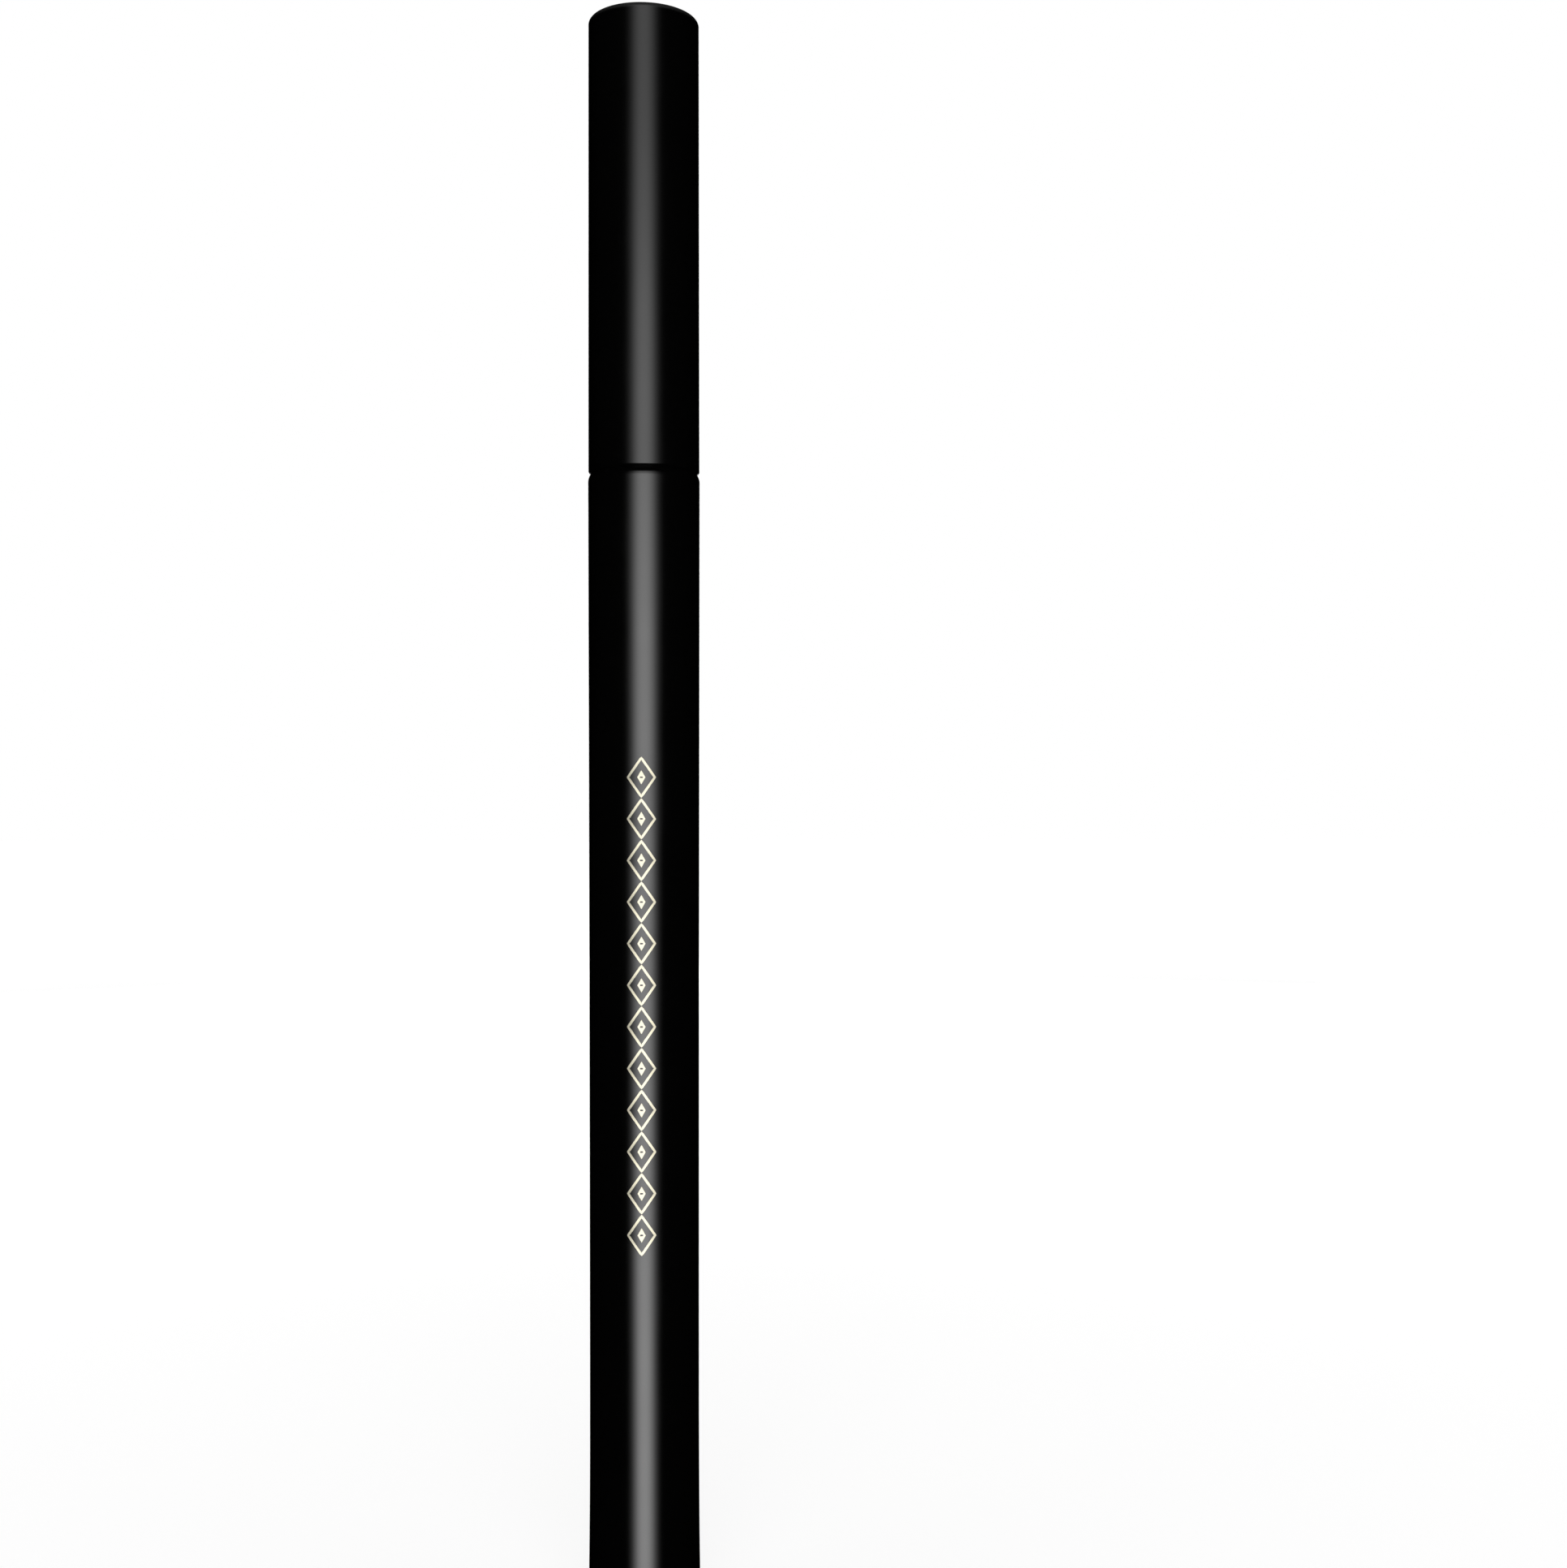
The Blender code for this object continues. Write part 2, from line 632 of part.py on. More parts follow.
def make_cap_shell(finish):
    """The outer cap. Its mouth is bevelled to sit on the barrel's shoulder."""
    outline = [
        (0.0, cap_top_z),
        (cap_radius - CAP_TAPER, cap_top_z, CAP_TOP_FILLET),
        (cap_radius, cap_mouth_z),
        (cap_mouth_bore, cap_mouth_z),
        (cap_bore, cap_mouth_z + cap_mouth_bore - cap_bore),
        (cap_bore, cap_ceiling_z),
        (SPRING_POST_RADIUS, cap_ceiling_z),
        (SPRING_POST_RADIUS, cap_ceiling_z - SPRING_POST_HEIGHT),
        (0.0, cap_ceiling_z - SPRING_POST_HEIGHT),
    ]
    return turned("cap_shell", rounded(outline), finish, closed=False)


def make_cap_liner(finish):
    """The sleeve in the cap: wide over the neck's collar, and narrow where it guides the cup."""
    slope = liner_bore - liner_guide_bore
    outline = [
        (liner_bore, liner_foot_z),
        (liner_radius, liner_foot_z),
        (liner_radius, liner_top_z),
        (liner_guide_bore, liner_top_z),
        (liner_guide_bore, liner_guide_z),
        (liner_bore, liner_guide_z - slope),
    ]
    return turned("cap_liner", outline, finish)


def make_seal_cup(finish):
    """The sprung cup that closes over the nozzle and keeps the brush from drying."""
    outline = [
        (skirt_bore, cup_foot_z),
        (skirt_radius, cup_foot_z),
        (skirt_radius, cup_flange_z),
        (cup_flange_radius, cup_flange_z),
        (cup_flange_radius, cup_flange_top_z),
        (cup_radius, cup_flange_top_z),
        (cup_radius, cup_top_z),
        (SPRING_POST_RADIUS, cup_top_z),
        (SPRING_POST_RADIUS, cup_top_z + SPRING_POST_HEIGHT),
        (0.0, cup_top_z + SPRING_POST_HEIGHT),
    ]
    inside = [
        (0.0, cup_room_z),
        (cup_bore, cup_room_z),
        (cup_bore, cup_shelf_z),
        (skirt_bore, cup_shelf_z),
    ]
    return turned("seal_cup", inside + outline, finish, closed=False)


def make_seal_gasket(finish):
    """The soft washer in the cup, which meets the nozzle's flat top."""
    outline = [
        (nozzle_hole + GASKET_INNER_ROOM, gasket_foot_z),
        (NOZZLE_RADIUS, gasket_foot_z),
        (NOZZLE_RADIUS, gasket_top_z),
        (nozzle_hole + GASKET_INNER_ROOM, gasket_top_z),
    ]
    return turned("seal_gasket", outline, finish)


def make_spring(finish):
    """The spring that pushes the cup down: one steel wire, wound at a steady pitch."""
    points_a_turn = 9
    count = SPRING_TURNS * points_a_turn + 1
    rise = (spring_top_z - spring_foot_z) / (count - 1)
    line = bpy.data.curves.new("seal_spring", "CURVE")
    line.dimensions = "3D"
    line.bevel_depth = SPRING_WIRE_RADIUS
    line.bevel_resolution = 1
    line.use_fill_caps = True
    wire = line.splines.new("POLY")
    wire.points.add(count - 1)
    for index, point in enumerate(wire.points):
        angle = 2.0 * math.pi * index / points_a_turn
        point.co = (
            spring_radius * math.cos(angle),
            spring_radius * math.sin(angle),
            spring_foot_z + index * rise,
            1.0,
        )
    line.materials.append(finish)
    spring = bpy.data.objects.new("seal_spring", line)
    bpy.context.scene.collection.objects.link(spring)
    gap = rise * points_a_turn - 2.0 * SPRING_WIRE_RADIUS
    print(f"seal_spring: least gap between turns {gap / MM:.2f} mm")
    return spring


def build():
    clear_scene()
    black_shell = material("black_gloss_plastic", (0.004, 0.004, 0.005), 0.28)
    black_neck = material("black_neck_plastic", (0.004, 0.004, 0.005), 0.22)
    natural = material("natural_polypropylene", (0.62, 0.63, 0.62), 0.45)
    soft_black = material("black_elastomer", (0.02, 0.02, 0.02), 0.7)
    steel = material("polished_steel", (0.60, 0.60, 0.59), 0.15, 1.0)
    fibre = material("white_fibre", (0.74, 0.73, 0.70), 0.9)
    bristle = material("inked_bristle", (0.006, 0.006, 0.007), 0.5)

    make_barrel(black_shell)
    make_tail_cap(black_shell)
    make_ink_tank(natural)
    _, stopper_ring_z = make_tank_stopper(natural)
    seal_ring("stopper_seal_ring", stopper_ring_z, soft_black)
    make_ball(steel)

    _, shank_ring_z = make_front_section(black_neck)
    seal_ring("section_seal_ring", shank_ring_z, soft_black)
    make_tank_gland(soft_black)
    make_collector(natural)
    make_tube("feed_pipe", pipe_bore, pipe_radius, pipe_foot_z, comb_top_z, natural)
    make_relay_core(fibre)
    make_tube(
        "overflow_sponge",
        nose_radius + FIT_GAP,
        shank_bore - FIT_GAP,
        sponge_foot_z,
        sponge_foot_z + SPONGE_LENGTH,
        fibre,
    )
    make_tube(
        "brush_collar",
        brush_collar_bore,
        brush_collar_radius,
        brush_collar_foot_z,
        brush_collar_top_z,
        natural,
    )
    make_brush(bristle)

    shell = make_cap_shell(black_shell)
    liner = make_cap_liner(natural)
    spring = make_spring(steel)
    cap = group("cap", cap_mouth_z, [shell, liner, spring])
    cup = make_seal_cup(natural)
    gasket = make_seal_gasket(soft_black)
    group("sprung_seal", cup_foot_z, [cup, gasket], cap)

    print(f"cap: mouth at {cap_mouth_z / MM:.2f} mm, top at {cap_top_z / MM:.2f} mm")
    print(f"brush tip at {brush_tip_z / MM:.2f} mm, nozzle top at {nozzle_top_z / MM:.2f} mm")
    ball_top_z = stopper_top_z + SEAT_GAP + 2.0 * BALL_RADIUS
    print(f"ball travel {(core_foot_z - ball_top_z - SEAT_GAP) / MM:.2f} mm")


build()
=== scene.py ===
"""A slim black eyeliner pen, capped and standing upright before a plain white sweep.

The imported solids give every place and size. The pieces that can be seen are made again with
finer turning, and the bristles, the spring and the foil ornament are grown by node trees.
"""

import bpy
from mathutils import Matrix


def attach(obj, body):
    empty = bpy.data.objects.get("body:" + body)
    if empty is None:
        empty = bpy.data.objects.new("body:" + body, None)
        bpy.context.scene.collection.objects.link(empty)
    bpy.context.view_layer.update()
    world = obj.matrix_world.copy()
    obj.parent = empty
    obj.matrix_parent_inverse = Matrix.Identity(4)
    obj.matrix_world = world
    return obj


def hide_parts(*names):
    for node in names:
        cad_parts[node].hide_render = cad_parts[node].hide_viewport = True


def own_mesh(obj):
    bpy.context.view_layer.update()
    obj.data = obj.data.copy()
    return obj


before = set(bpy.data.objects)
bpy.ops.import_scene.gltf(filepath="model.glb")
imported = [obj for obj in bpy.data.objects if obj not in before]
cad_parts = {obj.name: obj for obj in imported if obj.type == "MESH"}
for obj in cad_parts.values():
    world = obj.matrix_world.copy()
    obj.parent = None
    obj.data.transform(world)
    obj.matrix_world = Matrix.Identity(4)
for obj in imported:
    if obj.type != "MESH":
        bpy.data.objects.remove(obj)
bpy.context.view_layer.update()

import math

import bmesh
import bpy
from mathutils import Vector

MM = 0.001

# Turning: facets round the axis, and steps in a rounded corner and along each curved side
AROUND = 144
FILLET_STEPS = 7
BARREL_STEPS = 60
SWELL_STEPS = 20
HOLLOW_STEPS = 30
# How far beside a rounded corner the ring stands that holds its edge, the distance within which
# points are joined, and the angle from which an edge is sharp
EDGE_HOLD = 0.04 * MM
WELD = 0.0004 * MM
SHARP_ANGLE = math.radians(32.0)

# Barrel, with its slim waist and 45 degree shoulder
BARREL_RADIUS = 5.00 * MM
BARREL_FOOT = 1.50 * MM
BARREL_TOP = 103.40 * MM
BARREL_BORE = 4.15 * MM
WAIST_RADIUS = 4.865 * MM
WAIST_INSET = 0.135 * MM
WAIST_RISE = 18.0 * MM
WAIST_HEIGHT = BARREL_FOOT + WAIST_RISE
FOOT_FLARE = 2.3
UPPER_SWELL = 1.5
SHOULDER_WIDTH = 1.28 * MM
SHOULDER_FILLET = 1.25 * MM
FOOT_FILLET = 0.15 * MM
LIP_BORE = 3.45 * MM
LIP_HEIGHT = 2.0 * MM
LIP_EDGE = 0.06 * MM

# Tail: a disc with a spigot in the barrel, a shallow well, and the mould's gate mark in it
TAIL_RADIUS = 4.96 * MM
TAIL_THICKNESS = 1.40 * MM
TAIL_FILLET = 0.35 * MM
SPIGOT_RADIUS = 4.05 * MM
SPIGOT_BORE = 3.25 * MM
SPIGOT_TOP = 3.60 * MM
WELL_RADIUS = 1.60 * MM
WELL_MOUTH = 1.85 * MM
WELL_DEPTH = 0.25 * MM
GATE_RADIUS = 0.42 * MM
GATE_FOOT = 0.48 * MM
GATE_FACE = 0.12 * MM

# Neck: collar, rounded swell, long hollow and nozzle, above a shank with a ring groove
COLLAR_RADIUS = 3.72 * MM
COLLAR_FOOT = 103.50 * MM
COLLAR_TOP = 105.95 * MM
SWELL_RISE = 2.75 * MM
SWELL_POWER = 1.34
SWELL_SHARE = 0.335
HOLLOW_RISE = 9.95 * MM
HOLLOW_POWER = 2.5
NOZZLE_RADIUS = 2.45 * MM
NOZZLE_TOP = 119.90 * MM
NOZZLE_FILLET = 0.20 * MM
NOZZLE_HOLE = 1.16 * MM
HOLE_EDGE = 0.08 * MM
SHANK_RADIUS = 3.35 * MM
SHANK_FOOT = 91.00 * MM
SHANK_CHAMFER = 0.22 * MM
SHANK_BORE = 2.55 * MM
SHANK_BORE_TOP = 107.90 * MM
GROOVE_RADIUS = 2.85 * MM
GROOVE_FOOT = 93.67 * MM
GROOVE_TOP = 94.33 * MM
SEAT_BORE = 1.63 * MM
SEAT_FOOT = 108.00 * MM
SEAT_TOP = 115.00 * MM

# Cap: its mouth is eased outside, by (inwards, upwards), and bevelled inside
CAP_RADIUS = 4.97 * MM
CAP_TAPER = 0.02 * MM
CAP_MOUTH = 102.31 * MM
CAP_TOP = 143.01 * MM
CAP_TOP_FILLET = 0.38 * MM
CAP_MOUTH_EDGE = (0.16 * MM, 0.27 * MM)
CAP_MOUTH_FILLETS = (0.06 * MM, 0.03 * MM)
CAP_MOUTH_LEAD = 0.23 * MM
CAP_BORE = 4.43 * MM
CAP_MOUTH_BORE = 4.90 * MM
CAP_CEILING = 141.91 * MM

# Liner, with the narrower guide at its top
LINER_RADIUS = 4.33 * MM
LINER_BORE = 3.82 * MM
LINER_FOOT = 103.50 * MM
LINER_TOP = 120.30 * MM
GUIDE_BORE = 3.03 * MM
GUIDE_FOOT = 115.30 * MM

# Sprung cup, its washer, and the posts that hold the spring in the cap and on the cup
CUP_RADIUS = 2.24 * MM
CUP_TOP = 129.45 * MM
CUP_BORE = 1.54 * MM
CUP_BORE_TOP = 128.55 * MM
SKIRT_RADIUS = 2.93 * MM
SKIRT_BORE = 2.55 * MM
SKIRT_FOOT = 118.40 * MM
FLANGE_FOOT = 120.40 * MM
FLANGE_TOP = 121.20 * MM
WASHER_BORE = 1.41 * MM
WASHER_FOOT = 120.00 * MM
WASHER_TOP = 120.40 * MM
WASHER_SEAT = 120.45 * MM
POST_RADIUS = 1.25 * MM
POST_HEIGHT = 1.0 * MM
POST_EDGE = 0.15 * MM

# Spring
SPRING_MIDDLE = 1.55 * MM
SPRING_WIRE = 0.20 * MM
SPRING_FOOT = 129.75 * MM
SPRING_TOP = 141.61 * MM
SPRING_TURNS = 7.0
SPRING_STEPS = 40
SPRING_SIDES = 12

# Brush: filaments on a bonded root, drawn in to a point
BRUSH_RADIUS = 1.06 * MM
BRUSH_ROOT = 113.40 * MM
ROOT_SIDE_RISE = 0.55 * MM
ROOT_DOME_RISE = 0.70 * MM
BRISTLE_FOOT = 118.60 * MM
BRISTLE_TIP = 127.65 * MM
BRISTLE_WIRE = 0.040 * MM
BRISTLE_COUNT = 430
BRISTLE_SEED = 7
BRISTLE_RINGS = 15
BRISTLE_SIDES = 5
# The turn in radians from each filament to the next, which spaces them evenly
GOLDEN_ANGLE = 2.399963
# The share of a filament's thickness that is etched off at its end, and how late that sets in
ETCHED_SHARE = 0.93
ETCHING_POWER = 5.0
# How far a free end strays, and the scale that gives each filament a stray of its own
STRAY_REACH = 0.10 * MM
STRAY_SCALE = 9000.0
# The length over which the brush narrows, and the share of it by which an outer filament may be
# shorter
GATHER_LENGTH = 5.0 * MM
STAGGER_SHARE = 0.34
# The brush's outline as measured, between its point and its full width, which are (0, 0) and
# (1, 1): (share of the gathered length, share of the radius)
GATHER_OUTLINE = (
    (0.06, 0.075), (0.108, 0.155), (0.182, 0.245), (0.254, 0.322), (0.326, 0.400),
    (0.400, 0.468), (0.472, 0.565), (0.544, 0.635), (0.616, 0.715), (0.690, 0.802),
    (0.762, 0.872), (0.834, 0.922), (0.908, 0.962),
)

# Foil ornament: a chain of open lozenges, each with a small solid one inside
FOIL_FOOT = 33.6 * MM
FOIL_UNITS = 12
FOIL_PITCH = 3.617 * MM
FOIL_WIDTH = 2.56 * MM
FOIL_STROKE = 0.21 * MM
FOIL_THICKNESS = 0.016 * MM
FOIL_SINK = 0.006 * MM
FOIL_TURN = math.radians(1.2)
LOZENGE_STEPS = 48
# The share of the pitch that an open lozenge fills, and the shares of the chain's width and pitch
# that the solid one fills
LOZENGE_SHARE = 0.93
INNER_SHARES = (0.30, 0.34)

# Finishes: the moulded ABS's black, how far down and inwards the cap's rim is worn to satin and
# painted lighter as a painted highlight, the outer share of that which is fully so, and the middle
# range of a noise pattern
ABS_BLACK = "#040404"
RIM_RUB_AND_HIGHLIGHT_REACH = 1.5 * CAP_TOP_FILLET
RIM_RUB_AND_HIGHLIGHT_FULLY = 0.3
NOISE_LOW, NOISE_HIGH = 0.3, 0.7

# The photograph's camera: near and almost level, a little to the pen's right. Its pitch and roll
# are in degrees, away from level.
CAMERA_PLACE = (12.47 * MM, -173.12 * MM, 73.04 * MM)
CAMERA_PITCH = 0.529
CAMERA_ROLL = 0.077
CAMERA_LENS = 44.40
CAMERA_SENSOR = 36.0
CAMERA_CLIP = 0.01

# Studio, in metres and degrees
LAMP_DISTANCE = 0.65
LAMP_COLUMNS, LAMP_ROWS = 60, 160
# How many half widths of its glow a lamp's face reaches to each side
LAMP_FACE = 3.0
FLOOR_HALF = 3.5
TENT_RADIUS = 1.6
ROOM_FILL = 0.25
# The floor's own glow, from the pen's shadow out to the open floor: (distance, strength)
SHADOW_GLOW = (0.03, 0.71)
OPEN_GLOW = (0.5, 0.85)

# Lamps: where each stands, in degrees from the front, how firmly its glow ends, and its rungs of
# (height, radiance, half width of its glow in degrees). The front rungs follow the highlight's
# brightness and width all along the photographed pen. They run on below the floor, because the
# gloss doesn't see the floor.
FRONT_TURN, FRONT_EDGE = 3.9, 2.65
FRONT_RUNGS = (
    (-0.50, 0.0, 14.4), (-0.44, 2.7, 14.4), (-0.40, 3.3, 14.4), (-0.30, 3.6, 14.4),
    (-0.20, 4.1, 14.6), (-0.12, 3.9, 15.0), (0.02, 3.55, 16.0), (0.10, 3.2, 16.7),
    (0.15, 3.35, 16.7), (0.185, 2.8, 16.7), (0.208, 2.4, 16.7), (0.222, 2.4, 16.7),
    (0.26, 2.8, 16.7), (0.30, 2.05, 16.7), (0.342, 1.55, 16.7), (0.376, 1.22, 16.7),
    (0.396, 1.45, 16.7), (0.42, 1.40, 16.7), (0.474, 1.15, 16.7), (0.545, 1.3, 17.0),
    (0.58, 0.0, 17.0),
)
# The back lamp stands straight behind the pen in the photograph's view, so that the pen mirrors
# it only in a hair's breadth at its sides
BACK_TURN, BACK_EDGE = 184.13, 4.0
BACK_RUNGS = (
    (-0.60, 1.4, 8.5), (-0.30, 2.5, 8.5), (0.15, 2.4, 8.5), (0.40, 1.7, 8.5), (0.60, 0.6, 8.5),
)


def linear(colour):
    """An sRGB hex colour such as "#D8C48A" as linear red, green, blue and an alpha of 1."""
    parts = [int(colour[at : at + 2], 16) / 255.0 for at in (1, 3, 5)]
    return (*[((p + 0.055) / 1.055) ** 2.4 if p > 0.04045 else p / 12.92 for p in parts], 1.0)


def add_node(tree, kind, feeds=None, **settings):
    """One node with its settings. A feed is a plain value, or another node's socket to link."""
    made = tree.nodes.new(kind)
    for name, value in settings.items():
        setattr(made, name, value)
    for name, value in (feeds or {}).items():
        if isinstance(value, bpy.types.NodeSocket):
            tree.links.new(value, made.inputs[name])
        else:
            made.inputs[name].default_value = value
    return made


def formula(tree, step):
    """What a sum in nested steps gives, such as ("ADD", 1.0, ("MULTIPLY", width, 0.5))."""
    if not isinstance(step, tuple):
        return step
    operation, *values = step
    feeds = {place: formula(tree, value) for place, value in enumerate(values)}
    return add_node(tree, "ShaderNodeMath", feeds, operation=operation).outputs["Value"]


def shader_of(name, colour, roughness, **even):
    """A material with its Principled shader: even numbers sit on the shader's own sockets."""
    finish = bpy.data.materials.new(name)
    finish.use_nodes = True
    shader = finish.node_tree.nodes["Principled BSDF"]
    shader.inputs["Base Color"].default_value = linear(colour)
    shader.inputs["Roughness"].default_value = roughness
    for word, value in even.items():
        shader.inputs[word.replace("_", " ")].default_value = value
    return finish, finish.node_tree, shader


def grain(tree, size, stretch=(1.0, 1.0, 1.0), detail=3.0):
    """Noise whose blotches are about this size in metres, in the piece's own coordinates."""
    place = add_node(tree, "ShaderNodeTexCoord").outputs["Object"]
    drawn = add_node(tree, "ShaderNodeMapping", {"Vector": place, "Scale": stretch})
    return add_node(tree, "ShaderNodeTexNoise", {
        "Vector": drawn.outputs["Vector"], "Scale": 1.0 / size, "Detail": detail,
    }).outputs["Fac"]


def spread(tree, pattern, low, high):
    """The pattern's middle range stretched between two values."""
    return add_node(tree, "ShaderNodeMapRange", {
        "Value": pattern, "From Min": NOISE_LOW, "From Max": NOISE_HIGH,
        "To Min": low, "To Max": high,
    }).outputs["Result"]


def blend_colours(tree, pattern, first, second):
    """Runs from one hex colour to the other over the pattern's middle range."""
    return add_node(tree, "ShaderNodeMix", {
        "Factor": spread(tree, pattern, low=0.0, high=1.0),
        "A": linear(first), "B": linear(second),
    }, data_type="RGBA").outputs["Result"]


def relief(tree, shader, pattern, height):
    """Raises the pattern by a height in metres in the shader's normal."""
    raised = add_node(tree, "ShaderNodeBump", {
        "Height": pattern, "Distance": height, "Strength": 1.0,
    })
    tree.links.new(raised.outputs["Normal"], shader.inputs["Normal"])


def rim_rub_and_painted_highlight(tree, top, radius, reach):
    """1 on the rounded rim at the end of a tube, fading out within this reach down and inwards."""
    place = add_node(tree, "ShaderNodeTexCoord").outputs["Object"]
    height = add_node(tree, "ShaderNodeSeparateXYZ", {"Vector": place}).outputs["Z"]
    flat = add_node(tree, "ShaderNodeVectorMath", {
        0: place, 1: (1.0, 1.0, 0.0),
    }, operation="MULTIPLY").outputs["Vector"]
    from_axis = add_node(tree, "ShaderNodeVectorMath", {0: flat}, operation="LENGTH")
    shares = [
        add_node(tree, "ShaderNodeMapRange", {
            "Value": value, "From Min": edge - reach, "From Max": edge - RIM_RUB_AND_HIGHLIGHT_FULLY * reach,
        }, interpolation_type="SMOOTHSTEP").outputs["Result"]
        for value, edge in ((height, top), (from_axis.outputs["Value"], radius))
    ]
    return formula(tree, ("MULTIPLY", *shares))


def moulded_abs(name, specular_level, roughness, rim=None):
    """ABS moulded in a polished tool: a deep even black under one clean, soft-edged highlight.

    The tool's last polish leaves waves about 2 mm long, too low to see but for a faint life in
    the highlight's edge, and handling leaves blotches of slightly duller gloss, about 6 mm wide.
    The cap's rim, which meets every table and bag, is worn to satin, and its grey line is a
    painted highlight. A rim is given by the painted highlight's colour and its roughness.
    """
    finish, tree, shader = shader_of(
        name, ABS_BLACK, roughness, IOR=1.59, Specular_IOR_Level=specular_level
    )
    dullness = spread(tree, grain(tree, size=6.0 * MM), low=roughness - 0.02, high=roughness + 0.03)
    if rim:
        painted_highlight_colour, rim_roughness = rim
        rim_rub_and_highlight_share = rim_rub_and_painted_highlight(tree, CAP_TOP, CAP_RADIUS - CAP_TAPER, RIM_RUB_AND_HIGHLIGHT_REACH)
        dullness = add_node(tree, "ShaderNodeMapRange", {
            "Value": rim_rub_and_highlight_share, "To Min": dullness, "To Max": rim_roughness,
        }).outputs["Result"]
        # The rim's colour is painted lighter than the black: a painted highlight along the cap's
        # rounded rim
        painted_rim_highlight = add_node(tree, "ShaderNodeMix", {
            "Factor": rim_rub_and_highlight_share, "A": linear(ABS_BLACK), "B": linear(painted_highlight_colour),
        }, data_type="RGBA")
        tree.links.new(painted_rim_highlight.outputs["Result"], shader.inputs["Base Color"])
    tree.links.new(dullness, shader.inputs["Roughness"])
    waves = grain(tree, size=2.0 * MM, stretch=(1.0, 1.0, 0.5), detail=1.0)
    relief(tree, shader, waves, height=0.0012 * MM)
    return finish


def natural_polypropylene():
    """Uncoloured polypropylene, moulded: milky, slightly see-through, with a waxy sheen.

    The melt's flow leaves faint streaks along the pen, about 1.5 mm wide.
    """
    finish, tree, shader = shader_of(
        "natural_polypropylene_moulded", "#D9DAD5", roughness=0.36, IOR=1.49,
        Subsurface_Weight=0.22, Subsurface_Scale=0.6 * MM, Subsurface_Radius=(1.0, 1.0, 0.95),
    )
    streaks = grain(tree, size=1.5 * MM, stretch=(1.0, 1.0, 0.25))
    tree.links.new(blend_colours(tree, streaks, "#CFD0CB", "#E1E2DD"), shader.inputs["Base Color"])
    tree.links.new(spread(tree, streaks, low=0.32, high=0.42), shader.inputs["Roughness"])
    relief(tree, shader, grain(tree, size=0.4 * MM), height=0.002 * MM)
    return finish


def nitrile_rubber():
    """Nitrile rubber, moulded and dusted with talc: a soft charcoal with no clear highlight.

    Talc grains of 0.02 mm are drawn as 0.2 mm blotches, or they wouldn't show at all.
    """
    finish, tree, shader = shader_of(
        "nitrile_rubber_moulded", "#1C1C1D", roughness=0.66, IOR=1.52
    )
    talc = grain(tree, size=0.2 * MM)
    tree.links.new(blend_colours(tree, talc, "#161617", "#262626"), shader.inputs["Base Color"])
    tree.links.new(spread(tree, talc, low=0.58, high=0.74), shader.inputs["Roughness"])
    relief(tree, shader, talc, height=0.004 * MM)
    return finish


def drawn_steel():
    """Stainless steel, drawn bright: sharp reflections, broken by fine lines left by the die.

    The die's lines are 0.01 mm apart and are drawn ten times as wide, so that they can show.
    """
    finish, tree, shader = shader_of(
        "stainless_steel_drawn", "#C6C4C0", roughness=0.16, Metallic=1.0
    )
    lines = grain(tree, size=0.1 * MM, stretch=(1.0, 1.0, 3.0))
    tree.links.new(spread(tree, lines, low=0.11, high=0.24), shader.inputs["Roughness"])
    relief(tree, shader, lines, height=0.0006 * MM)
    return finish


def bonded_fibre():
    """Polyester fibres bonded side by side: off-white, dull and streaked along the pen.

    Fibres of 0.03 mm are drawn 0.1 mm wide and run the length of the rod.
    """
    finish, tree, shader = shader_of(
        "polyester_fibre_bonded", "#E6E3DB", roughness=0.86, IOR=1.5, Sheen_Weight=0.15
    )
    fibres = grain(tree, size=0.1 * MM, stretch=(1.0, 1.0, 0.04))
    tree.links.new(blend_colours(tree, fibres, "#CBC7BD", "#F0EEE8"), shader.inputs["Base Color"])
    relief(tree, shader, fibres, height=0.012 * MM)
    return finish


def wet_filament(name, roughness):
    """PBT filament, tapered by etching and wet with liner: black, with thin wet glints.

    Dried liner leaves patches of duller gloss, drawn out along each filament.
    """
    finish, tree, shader = shader_of(name, "#060607", roughness, IOR=1.48)
    dried = grain(tree, size=0.25 * MM, stretch=(1.0, 1.0, 0.15))
    tree.links.new(blend_colours(tree, dried, "#040405", "#0B0B0C"), shader.inputs["Base Color"])
    dullness = spread(tree, dried, low=roughness - 0.1, high=roughness + 0.1)
    tree.links.new(dullness, shader.inputs["Roughness"])
    return finish


def stamped_foil():
    """Hot-stamped metallised foil in pale gold: satin, not mirror, and bright under the lamp.

    The plastic under it prints through as a fine grain: 0.03 mm, drawn as 0.12 mm.
    """
    finish, tree, shader = shader_of(
        "metallised_foil_hot_stamped", "#E5DFC8", roughness=0.49, Metallic=1.0
    )
    print_through = grain(tree, size=0.12 * MM)
    gold = blend_colours(tree, print_through, "#DFD8BD", "#EAE5D2")
    tree.links.new(gold, shader.inputs["Base Color"])
    tree.links.new(spread(tree, print_through, low=0.44, high=0.54), shader.inputs["Roughness"])
    relief(tree, shader, print_through, height=0.002 * MM)
    return finish


